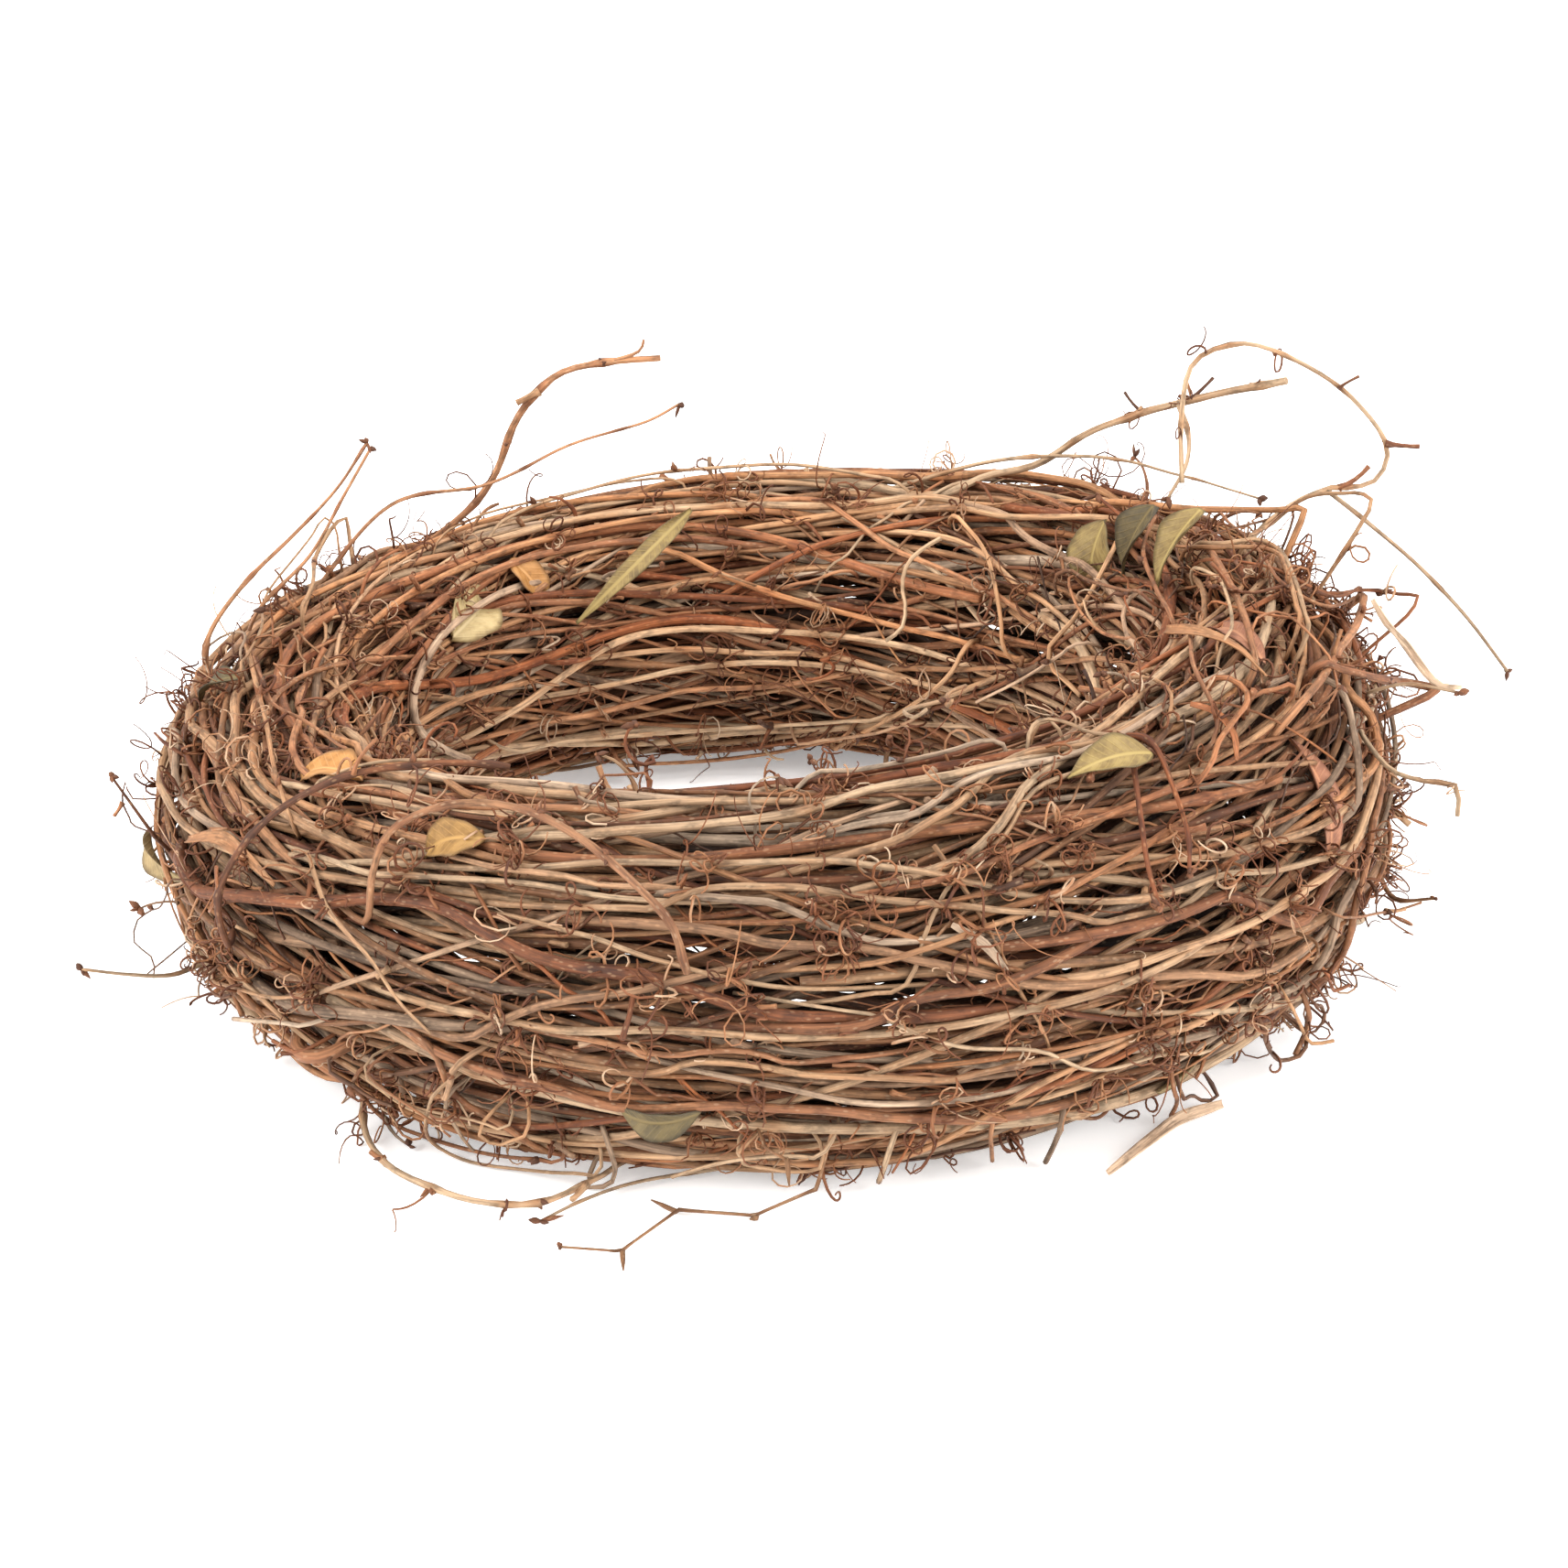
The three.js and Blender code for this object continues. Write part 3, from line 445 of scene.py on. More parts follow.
# Canes that show on the surface. They are the last ones wound, and were read off the
# photograph: (thickness in pixels, finish, tone, degrees that it goes on round the ring from
# its first and from its last point, its pixels' x and y in turn). Past those points each
# slips under the others.
surface_canes = [
    (13, "brown", 0.30, 60, 150, [231, 976, 300, 985, 360, 995, 420, 1000, 490, 1005, 540, 1030,
     590, 1050, 640, 1062, 707, 1069, 754, 1079, 801, 1094, 847, 1108, 894, 1113, 932, 1110]),
    (11, "brown", 0.35, 30, 120, [954, 1101, 979, 1085, 1004, 1076, 1050, 1065, 1091, 1057]),
    (8, "tan", 0.75, 90, 60, [546, 1110, 586, 1118, 633, 1122, 713, 1119, 785, 1120, 847, 1122,
     910, 1120, 957, 1118, 1019, 1111, 1066, 1102, 1113, 1091, 1160, 1080, 1206, 1065, 1240,
     1054]),
    (9, "tan", 0.95, 20, 160, [1252, 1043, 1290, 1032, 1321, 1022, 1352, 1007, 1384, 988, 1415,
     966, 1446, 944, 1471, 913, 1484, 879]),
    (7, "tan", 0.80, 150, 90, [355, 951, 500, 951, 600, 950, 660, 944, 785, 946, 926, 947, 957,
     952, 1004, 957, 1051, 966, 1097, 977, 1118, 983, 1165, 988, 1196, 988, 1243, 982, 1290, 968,
     1321, 955, 1384, 951, 1415, 944, 1459, 930]),
    (7, "tan", 0.70, 120, 90, [722, 988, 754, 974, 801, 968, 847, 968, 894, 971, 941, 980, 1004,
     985, 1051, 987, 1097, 991, 1134, 996, 1171, 1001, 1199, 1012]),
    (10, "grey", 0.60, 100, 150, [751, 1007, 801, 1016, 847, 1029, 894, 1029, 941, 1030, 1004,
     1038, 1066, 1047, 1113, 1055, 1149, 1057, 1196, 1060, 1243, 1055, 1290, 1055, 1359, 1062]),
    (8, "grey", 0.80, 90, 60, [847, 994, 879, 1008, 926, 1026, 957, 1035]),
    (5, "tan", 0.70, 60, 60, [660, 1029, 691, 1041, 738, 1052, 785, 1062, 832, 1072, 872, 1077]),
    (6, "grey", 0.90, 40, 60, [514, 930, 571, 944, 617, 954, 664, 971]),
    (6, "tan", 0.90, 90, 60, [417, 958, 502, 963, 586, 969, 680, 985]),
    (8, "tan", 0.85, 150, 150, [374, 882, 461, 891, 555, 893, 680, 888, 785, 886, 850, 884]),
    (12, "grey", 0.35, 60, 60, [333, 1104, 383, 1110, 439, 1118]),
    (6, "tan", 0.65, 90, 60, [300, 1091, 342, 1132, 380, 1157, 417, 1182, 452, 1207, 492, 1219,
     555, 1232]),
    (7, "brown", 0.75, 90, 90, [480, 1135, 496, 1166, 511, 1197, 549, 1219, 586, 1244, 633, 1263,
     680, 1272]),
    (8, "grey", 0.50, 120, 90, [511, 1126, 549, 1107, 602, 1088, 680, 1079]),
    (10, "brown", 0.60, 150, 150, [517, 1160, 571, 1176, 617, 1185, 660, 1201, 722, 1204, 785,
     1199, 847, 1201, 910, 1204, 957, 1212, 1019, 1216, 1066, 1218]),
    (7, "tan", 0.45, 90, 120, [713, 1172, 738, 1160, 785, 1157, 832, 1161, 872, 1169, 972, 1172,
     1035, 1176, 1082, 1166, 1144, 1154]),
    (6, "brown", 0.70, 60, 60, [660, 1132, 707, 1143, 754, 1147, 794, 1141, 832, 1146, 863, 1157]),
    (6, "grey", 0.70, 120, 90, [847, 1182, 894, 1191, 941, 1199, 1019, 1198]),
    (7, "tan", 0.60, 60, 120, [972, 1260, 1019, 1244, 1066, 1219, 1102, 1197, 1149, 1172, 1196,
     1151, 1234, 1132, 1299, 1116]),
    (6, "tan", 0.65, 60, 60, [954, 1040, 1004, 1027, 1051, 1013, 1097, 997]),
    (5, "tan", 0.75, 12, 12, [1129, 863, 1107, 891, 1094, 916, 1069, 935, 1044, 957, 1032, 972,
     1019, 994, 1010, 1016, 1001, 1035, 994, 1054, 988, 1076]),
    (4, "tan", 1.00, 12, 12, [963, 1105, 991, 1119, 1054, 1141, 1134, 1146, 1156, 1157, 1209, 1169,
     1240, 1157, 1274, 1147, 1312, 1146]),
    (8, "tan", 0.55, 60, 150, [1234, 933, 1306, 929, 1352, 922, 1399, 907, 1440, 891, 1459, 885]),
    (7, "brown", 0.80, 60, 90, [1040, 954, 1071, 944, 1118, 926, 1165, 910, 1212, 894, 1234, 885]),
    (7, "tan", 0.50, 60, 60, [1143, 976, 1181, 954, 1228, 930]),
    (12, "brown", 0.40, 30, 20, [1199, 1013, 1243, 1004, 1290, 993, 1321, 980, 1343, 977, 1359,
     985, 1378, 998, 1403, 1010, 1424, 1007, 1434, 985, 1443, 960]),
    (9, "grey", 0.60, 10, 90, [1418, 1063, 1434, 1041, 1443, 1016, 1449, 991]),
    (9, "tan", 0.60, 90, 20, [1468, 769, 1484, 779, 1496, 801, 1499, 829, 1490, 851, 1471, 866,
     1459, 879]),
    (8, "brown", 0.70, 60, 60, [1487, 898, 1484, 929, 1474, 963, 1468, 991, 1462, 1029, 1446,
     1060]),
    (9, "tan", 0.80, 150, 60, [1040, 948, 1071, 929, 1096, 900, 1115, 868, 1149, 840, 1210, 800,
     1263, 752, 1300, 720]),
    (8, "tan", 0.60, 150, 60, [975, 925, 1040, 888, 1100, 838, 1160, 790, 1220, 742, 1262, 700]),
    (9, "tan", 0.90, 120, 90, [640, 912, 760, 908, 880, 897, 960, 872, 1050, 815, 1120, 768, 1185,
     722]),
    (7, "grey", 0.80, 120, 90, [1000, 905, 1080, 850, 1160, 780, 1240, 700, 1290, 640]),
    (9, "grey", 0.90, 90, 90, [445, 790, 470, 812, 500, 830, 540, 845, 590, 862, 650, 880]),
    (10, "tan", 0.60, 150, 90, [460, 640, 440, 665, 420, 700, 410, 735, 412, 770, 425, 800, 450,
     830, 500, 858, 560, 872]),
    (9, "grey", 0.70, 120, 90, [520, 668, 478, 695, 452, 730, 442, 760, 446, 790, 470, 815, 510,
     835]),
    (8, "tan", 0.70, 150, 60, [400, 720, 392, 760, 398, 790, 420, 820, 460, 850, 520, 880]),
    (9, "tan", 0.65, 60, 120, [290, 800, 285, 835, 300, 860, 340, 885, 400, 905, 470, 920]),
    (11, "tan", 0.50, 60, 120, [262, 795, 258, 820, 268, 845, 290, 875, 330, 900]),
    (8, "brown", 0.80, 90, 90, [330, 790, 318, 830, 330, 850, 350, 862, 420, 875, 500, 888, 620,
     893]),
    (9, "tan", 0.60, 90, 120, [185, 800, 178, 840, 186, 870, 205, 900, 240, 920, 290, 935, 350,
     950]),
    (9, "grey", 0.60, 60, 90, [190, 790, 205, 800, 200, 850, 215, 880, 260, 905]),
    (11, "tan", 0.55, 120, 120, [350, 560, 320, 600, 280, 650, 250, 700, 232, 740, 222, 790]),
    (8, "grey", 0.55, 100, 120, [420, 600, 380, 635, 330, 660, 290, 690, 255, 730, 225, 765, 190,
     790]),
    (8, "tan", 0.60, 90, 150, [300, 680, 340, 655, 400, 630, 460, 600, 540, 570, 640, 552, 760,
     545]),
    (9, "tan", 0.75, 90, 150, [560, 590, 640, 570, 740, 560, 840, 556, 960, 552, 1000, 545]),
    (9, "tan", 0.65, 90, 120, [760, 530, 860, 528, 960, 528, 1050, 528, 1090, 522, 1150, 500]),
    (8, "tan", 0.55, 120, 120, [430, 665, 470, 640, 530, 612, 600, 590, 690, 575, 800, 565]),
    (9, "brown", 0.55, 120, 120, [450, 690, 500, 650, 560, 620, 640, 600, 740, 585]),
    (7, "tan", 0.60, 90, 90, [730, 605, 790, 630, 850, 650, 920, 668, 990, 685, 1040, 695]),
    (7, "brown", 0.80, 60, 60, [905, 550, 940, 572, 975, 600, 1030, 625, 1080, 650]),
    (8, "tan", 0.85, 120, 120, [570, 760, 620, 725, 670, 695, 730, 682, 800, 680, 880, 685, 930,
     692, 990, 705, 1050, 725]),
    (7, "tan", 0.80, 120, 90, [700, 735, 760, 722, 830, 718, 900, 722, 960, 732, 1010, 745]),
    (7, "tan", 0.70, 90, 90, [690, 712, 750, 708, 820, 713, 900, 716, 960, 730, 1020, 750]),
    (7, "brown", 0.85, 90, 90, [590, 790, 640, 780, 690, 768, 750, 752, 820, 750, 880, 742, 930,
     732]),
    (7, "tan", 0.85, 90, 90, [570, 815, 640, 808, 710, 802, 760, 795, 830, 790, 920, 786, 1000,
     782]),
    (8, "tan", 0.60, 120, 90, [1050, 560, 1130, 570, 1210, 575, 1270, 585]),
    (9, "grey", 0.55, 60, 60, [1095, 565, 1120, 590, 1150, 605, 1190, 620]),
    (7, "tan", 0.70, 60, 60, [1040, 590, 1080, 610, 1110, 640, 1140, 660]),
    (6, "tan", 0.75, 10, 10, [1240, 560, 1232, 590, 1205, 640, 1180, 680, 1160, 700, 1150, 720]),
]

stems = []
spacing = 6.0
surface_hold = 0.6


def add_stem(points, radius, finish, tone, hold, node=None):
    """Notes one stem at an even spacing, before all of them settle against each other. hold is
    the share of a push that it resists."""
    stems.append(dict(points=points, radius=radius, finish=finish, tone=tone, hold=hold,
                      node=node))


def carried_on(phi, theta, way, slope, angle, deep):
    """Where a cane runs past its read points: on round the ring with six tenths of its slope
    there, a slow wave, and down under the others within the first 0.6 radians."""
    count = max(3, int(angle * degree / 0.05))
    onward = np.linspace(0.0, angle * degree, count + 1)[1:]
    wave = rng.uniform(0.05, 0.12) * np.sin(rng.uniform(1.0, 2.2) * onward)
    below = deep * (1 - np.cos(np.pi * np.minimum(onward / 0.6, 1.0))) / 2
    return ring_point(phi + way * onward, theta + slope * onward * 0.6 + wave, 1.2 + below)


rng = np.random.default_rng(20)
for pixels_wide, finish, tone, before, after, pixels in surface_canes:
    radius = pixels_wide * millimetres_per_pixel / 2
    read = smooth_line(read_off(pixels, 0.8 * radius), 4.0)
    phi, theta, share = ring_place(read)
    phi, theta = np.unwrap(phi), np.unwrap(theta)
    smoothed = ring_point(phi, theta, np.clip((1 - share) * half_width(phi), radius, 9.0))
    way = math.copysign(1.0, phi[-1] - phi[0])
    ends = []
    for last, inner, sign, angle in ((0, 8, -way, before), (-1, -9, way, after)):
        inner = max(-len(phi), min(len(phi) - 1, inner))
        run = max(abs(phi[last] - phi[inner]), 0.03)
        slope = float(np.clip((theta[last] - theta[inner]) / run, -0.8, 0.8))
        ends.append(carried_on(phi[last], theta[last], sign, slope, angle, rng.uniform(6, 10)))
    line = smooth_line(np.concatenate([ends[0][::-1], smoothed[::2], ends[1]]), spacing)
    add_stem(line, radius, finish, tone, surface_hold)

# Loose twigs. They spring off the bundle here and there, above all at the upper right, where
# they make an open net. Read off the photograph too: (thickness in pixels, finish, tone,
# millimetres outside the bundle's surface, pixels). Both ends of those less than 8 mm out run
# in among the canes.
loose_twigs = [
    (4, "tan", 0.80, 3, [540, 575, 580, 552, 620, 540, 700, 520, 780, 512, 860, 508, 920, 515, 985,
     527]),
    (3, "tan", 0.60, 2, [480, 585, 530, 562, 600, 545, 680, 527, 740, 522]),
    (8, "tan", 0.70, 2, [1200, 548, 1260, 552, 1300, 556, 1345, 557, 1410, 556, 1425, 552]),
    (5, "tan", 0.50, 3, [1360, 590, 1395, 570, 1420, 548, 1445, 541, 1500, 541]),
    (6, "tan", 0.75, 3, [1300, 596, 1345, 594, 1375, 590, 1395, 600, 1415, 635, 1424, 665, 1430,
     690]),
    (5, "tan", 0.60, 3, [1290, 600, 1330, 598, 1385, 600, 1404, 625, 1414, 655, 1420, 680]),
    (3, "dark", 0.60, 3, [1300, 592, 1345, 578, 1390, 566, 1415, 556]),
    (4, "brown", 0.50, 2, [1305, 612, 1350, 614, 1400, 625, 1440, 648, 1500, 647, 1552, 656]),
    (4, "dark", 0.80, 3, [1320, 640, 1365, 648, 1410, 640, 1455, 652, 1490, 640]),
    (4, "brown", 0.70, 3, [1330, 560, 1375, 600, 1405, 640, 1440, 660, 1480, 655]),
    (3, "brown", 0.80, 2, [1320, 655, 1370, 668, 1420, 676, 1455, 668]),
    (4, "tan", 0.90, 3, [1300, 620, 1328, 630, 1342, 655, 1345, 690, 1335, 702]),
    (8, "brown", 0.70, 2, [1305, 575, 1322, 600, 1342, 640, 1360, 680, 1372, 725]),
    (9, "brown", 0.95, 3, [1490, 650, 1482, 680, 1462, 710, 1440, 745, 1415, 775]),
    (9, "brown", 0.60, 4, [1440, 724, 1467, 731, 1511, 742, 1540, 746, 1572, 752]),
    (2, "dark", 0.70, 5, [1490, 738, 1497, 752, 1510, 766, 1520, 762, 1523, 745]),
    (7, "grey", 0.60, 3, [1446, 738, 1468, 760, 1478, 800, 1484, 850, 1480, 890]),
    (3, "brown", 0.80, 4, [1370, 680, 1400, 665, 1430, 690, 1455, 720, 1460, 760]),
    (6, "brown", 1.00, 3, [1320, 738, 1350, 745, 1364, 758, 1345, 790, 1328, 815, 1322, 840]),
    (5, "brown", 0.90, 3, [1364, 758, 1390, 752, 1420, 745]),
    (5, "brown", 0.70, 2, [1300, 690, 1303, 730, 1322, 770, 1330, 800]),
    (4, "tan", 0.70, 3, [1212, 690, 1225, 720, 1245, 740, 1270, 748, 1282, 770]),
    (5, "brown", 0.60, 3, [1265, 560, 1250, 600, 1262, 640, 1278, 670]),
    (6, "grey", 0.70, 3, [1250, 640, 1230, 660, 1230, 690, 1240, 705]),
    (5, "tan", 0.80, 3, [1040, 560, 1075, 600, 1090, 655, 1098, 720]),
    (4, "tan", 0.60, 14, [1030, 515, 1024, 570, 1030, 640, 1036, 700, 1040, 765]),
    (4, "tan", 0.90, 12, [1008, 532, 985, 570, 975, 605, 985, 660, 1000, 715, 1012, 775]),
    (5, "tan", 0.95, 8, [1028, 588, 995, 610, 985, 640, 990, 680, 968, 700]),
    (4, "brown", 0.80, 4, [860, 640, 900, 632, 920, 622]),
    (3, "brown", 0.90, 4, [870, 735, 890, 760, 925, 790]),
    (6, "tan", 0.85, 4, [1055, 705, 1040, 735, 1000, 770, 950, 800, 905, 822]),
    (5, "grey", 0.90, 3, [1085, 712, 1040, 745, 985, 785, 930, 815, 880, 845]),
    (4, "tan", 0.80, 3, [1119, 804, 1149, 783, 1174, 794, 1203, 804, 1234, 807]),
    (4, "tan", 1.00, 3, [1149, 783, 1130, 765]),
    (4, "dark", 0.90, 4, [1150, 640, 1160, 622, 1190, 634, 1230, 645, 1250, 648]),
    (4, "brown", 0.80, 3, [1240, 700, 1200, 690, 1175, 660, 1165, 625]),
    (4, "grey", 0.90, 3, [1180, 700, 1150, 720, 1110, 745, 1060, 770]),
    (3, "tan", 0.60, 4, [360, 560, 330, 600, 295, 645, 285, 690, 262, 730]),
    (5, "tan", 0.60, 5, [375, 560, 350, 600, 342, 640, 330, 665]),
    (3, "grey", 0.70, 5, [222, 725, 232, 700, 265, 690, 262, 715]),
    (4, "brown", 0.70, 3, [270, 700, 285, 740, 300, 770, 330, 785, 385, 825]),
    (5, "tan", 0.70, 3, [268, 700, 278, 740, 290, 790, 300, 850, 318, 900]),
    (4, "tan", 0.95, 3, [500, 815, 440, 830, 380, 840, 340, 860]),
    (5, "tan", 0.90, 4, [560, 822, 620, 810, 700, 803, 800, 796, 900, 790, 965, 785]),
    (5, "brown", 0.90, 5, [680, 836, 740, 834, 800, 829, 860, 820, 925, 804]),
    (4, "dark", 0.90, 5, [740, 822, 800, 820, 860, 812, 900, 806]),
    (3, "brown", 0.60, 4, [650, 852, 690, 846, 715, 832]),
    (4, "grey", 0.80, 6, [870, 812, 920, 806, 960, 800, 1000, 785]),
    (2, "dark", 0.80, 6, [188, 960, 178, 985, 158, 998, 143, 1012, 150, 1035, 168, 1048, 170, 1066,
     150, 1075]),
    (2, "dark", 0.60, 5, [150, 905, 135, 880, 130, 855, 142, 850, 140, 870]),
    (4, "brown", 0.60, 3, [380, 1180, 420, 1225, 470, 1245, 540, 1262, 620, 1268]),
    (4, "tan", 0.70, 4, [478, 1190, 467, 1215, 468, 1238, 485, 1255, 520, 1269, 560, 1275, 620,
     1281, 660, 1280]),
    (3, "tan", 0.85, 4, [392, 1165, 420, 1190, 450, 1207, 500, 1219, 560, 1234]),
    (16, "brown", 0.80, 3, [350, 1156, 336, 1150, 322, 1146]),
    (4, "tan", 0.70, 3, [228, 1071, 262, 1084, 300, 1091, 340, 1084]),
    (6, "grey", 1.30, 4, [500, 1160, 492, 1182, 484, 1203]),
    (4, "tan", 0.90, 5, [522, 1234, 532, 1247, 546, 1253, 562, 1242, 578, 1236]),
    (5, "grey", 0.70, 3, [640, 1292, 652, 1301, 666, 1294, 672, 1278, 668, 1262]),
    (4, "tan", 0.80, 4, [800, 1264, 840, 1277, 880, 1280, 905, 1268]),
    (5, "dark", 0.80, 4, [1380, 1122, 1387, 1144, 1405, 1158, 1425, 1150, 1432, 1136]),
    (3, "dark", 0.80, 4, [1436, 1098, 1447, 1105, 1446, 1120, 1428, 1130]),
    (4, "dark", 0.70, 4, [1290, 1198, 1316, 1202, 1322, 1211, 1332, 1206, 1332, 1196]),
]
# The same, but the last end stands free
stub_twigs = [
    (3, "brown", 0.80, 4, [1458, 1000, 1480, 1002, 1505, 997, 1535, 992, 1553, 986]),
    (4, "dark", 0.70, 4, [350, 1160, 375, 1180, 400, 1198, 428, 1208]),
    (3, "brown", 0.70, 5, [400, 1168, 425, 1195, 455, 1213, 492, 1242]),
    (5, "brown", 0.60, 4, [330, 1149, 312, 1145, 298, 1137]),
    (5, "grey", 1.00, 4, [335, 1120, 300, 1117, 275, 1115, 255, 1113]),
    (3, "dark", 0.80, 4, [222, 1062, 228, 1078, 240, 1089, 252, 1088]),
    (4, "grey", 0.70, 4, [484, 1200, 493, 1222, 505, 1243, 517, 1257]),
    (6, "tan", 0.90, 3, [972, 1255, 966, 1275, 960, 1291]),
    (3, "brown", 0.70, 3, [992, 1256, 983, 1268, 975, 1281]),
    (5, "brown", 0.90, 2, [1082, 1236, 1084, 1268]),
    (4, "tan", 0.90, 4, [900, 1262, 830, 1264, 780, 1272, 734, 1286]),
    (4, "tan", 1.00, 4, [1410, 1098, 1422, 1122, 1434, 1141, 1457, 1137]),
    (6, "brown", 0.80, 3, [1430, 1098, 1427, 1128, 1415, 1152]),
    (4, "brown", 0.70, 4, [1450, 1064, 1462, 1084, 1470, 1087, 1474, 1076]),
    (6, "grey", 0.40, 3, [1160, 1228, 1151, 1252, 1142, 1270]),
    (5, "brown", 0.60, 3, [1282, 1190, 1286, 1205, 1279, 1219]),
]
for number, (pixels_wide, finish, tone, outside, pixels) in enumerate(loose_twigs + stub_twigs):
    line = smooth_line(read_off(pixels, -float(outside)), 5.0)
    if outside < 8:  # those farther out hang free at both ends
        phi, theta, _ = ring_place(line[[0, -1]])
        sunk = ring_point(phi + [0.03, -0.03], theta, 5.0)
        last = sunk[1:] if number < len(loose_twigs) else sunk[:0]
        line = np.concatenate([sunk[:1], line, last])
    line = smooth_line(line, spacing)
    line[:, 2] = np.maximum(line[:, 2], 1.0)
    add_stem(line, pixels_wide * millimetres_per_pixel / 2, finish, tone, 1.0)

# The CAD part's canes stay where they are, and the others give way to them
wound_radius = 1.8
for cane in cad_canes:
    if "line" not in cane:
        cane["line"] = cane["points"]
        cane["radius"] = np.full(len(cane["line"]), cane["radius"])
    line = smooth_line(cane["line"], spacing)
    add_stem(line, wound_radius, cane["finish"], 0.5, 1.0, cane["node"])

# Thin canes fill the bundle between the thick ones. One in three is long and runs nearly along
# the ring; the others are short and climb aslant over the rest. Their ends are tucked in.
thin_count = 190
for n in range(thin_count):
    aslant = n % 3 > 0
    turns = rng.uniform(0.2, 0.7) if aslant else rng.uniform(0.7, 1.9)
    phi = rng.uniform(0, 2 * np.pi) + rng.choice([-1, 1]) * np.arange(0, turns * 2 * np.pi, 0.045)
    radius = rng.uniform(0.5, 1.05)
    deep = rng.choice([rng.uniform(1.0, 4.0), rng.uniform(4.0, 9.0), rng.uniform(8.0, 15.0)],
                      p=[0.85, 0.15, 0.0] if aslant else [0.45, 0.32, 0.23])
    along = np.abs(phi - phi[0])
    slope = rng.choice([-1, 1]) * rng.uniform(0.4, 1.6) if aslant else rng.normal(0.0, 0.5)
    theta = 2 * np.pi * (n * golden_share % 1) + slope * along
    for waves in (1.3, 2.7, 5.1):
        theta = theta + rng.uniform(0.02, 0.07) * np.sin(waves * along + rng.uniform(0, 6.3))
    depth = deep + 1.2 * np.sin(rng.uniform(0.8, 2.0) * along + rng.uniform(0, 6.3))
    tuck = np.minimum(along, along[-1] - along) / 0.35
    depth = depth + 7.0 * np.clip(1 - tuck, 0, 1) ** 2
    finish = rng.choice(["tan", "brown", "grey", "dark"], p=[0.42, 0.33, 0.15, 0.10])
    line = smooth_line(ring_point(phi, theta, np.maximum(depth, radius)), spacing)
    add_stem(line, radius, str(finish), rng.uniform(0.1, 1.0), 0.0)

# How the canes lie against each other. All are wound under tension and settle side by side:
# wherever two overlap, both move apart along the line between them, and each spreads its
# moves along its length, because it is stiff. What was read off the photograph was wound on
# last, so it works its way up to lie on top of the others.
points = np.concatenate([stem["points"] for stem in stems])
owner = np.repeat(np.arange(len(stems)), [len(stem["points"]) for stem in stems])
thick = np.concatenate([np.full(len(stem["points"]), stem["radius"]) for stem in stems])
give = 1.0 - np.concatenate([np.full(len(stem["points"]), stem["hold"]) for stem in stems])
start_points = points.copy()
phi, theta, share = ring_place(points)
# What lies on top may stand 1.2 mm out of the bundle's surface, the rest's bark only 0.8 mm
on_top = (give == 1.0 - surface_hold) & ((1 - share) * half_width(phi) < thick + 0.8)
least_depth = np.where(on_top, -1.2, thick - 0.8)
segment = np.flatnonzero(owner[:-1] == owner[1:])
inner = np.flatnonzero((owner[:-2] == owner[1:-1]) & (owner[1:-1] == owner[2:])) + 1


def close_pairs(middle, reach):
    """Pairs of places nearer than reach: the places are sorted into cubes of that size, and
    each cube is compared with itself and with half of its neighbours."""
    cube = np.floor(middle / reach).astype(np.int64)
    cube -= cube.min(axis=0) - 1
    size = cube.max(axis=0) + 2
    key = (cube[:, 0] * size[1] + cube[:, 1]) * size[2] + cube[:, 2]
    order = np.argsort(key, kind="stable")
    ordered = key[order]
    firsts, seconds = [], []
    ways = [(x, y, z) for x in (-1, 0, 1) for y in (-1, 0, 1) for z in (-1, 0, 1)]
    for x, y, z in ways[13:]:
        other = key + (x * size[1] + y) * size[2] + z
        low = np.searchsorted(ordered, other, "left")
        count = np.searchsorted(ordered, other, "right") - low
        first = np.repeat(np.arange(len(key)), count)
        offset = np.arange(count.sum()) - np.repeat(np.cumsum(count) - count, count)
        second = order[np.repeat(low, count) + offset]
        if (x, y, z) == (0, 0, 0):
            once = first < second
            first, second = first[once], second[once]
        near = ((middle[first] - middle[second]) ** 2).sum(axis=1) < reach**2
        firsts.append(first[near])
        seconds.append(second[near])
    return np.concatenate(firsts), np.concatenate(seconds)


def nearest_places(a, b):
    """Shares along two sets of straight pieces where they come nearest: the usual solution for
    two lines, held within the pieces."""
    along_a, along_b = points[a + 1] - points[a], points[b + 1] - points[b]
    apart = points[a] - points[b]
    aa, bb = (along_a**2).sum(axis=1), (along_b**2).sum(axis=1)
    ab = (along_a * along_b).sum(axis=1)
    at_a, at_b = (along_a * apart).sum(axis=1), (along_b * apart).sum(axis=1)
    crossing = np.maximum(aa * bb - ab**2, 1e-3 * aa * bb)
    s = np.clip((ab * at_b - at_a * bb) / crossing, 0, 1)
    t = np.clip((ab * s + at_b) / bb, 0, 1)
    s = np.clip((ab * t - at_a) / aa, 0, 1)
    gap = apart + s[:, None] * along_a - t[:, None] * along_b
    return s, t, gap


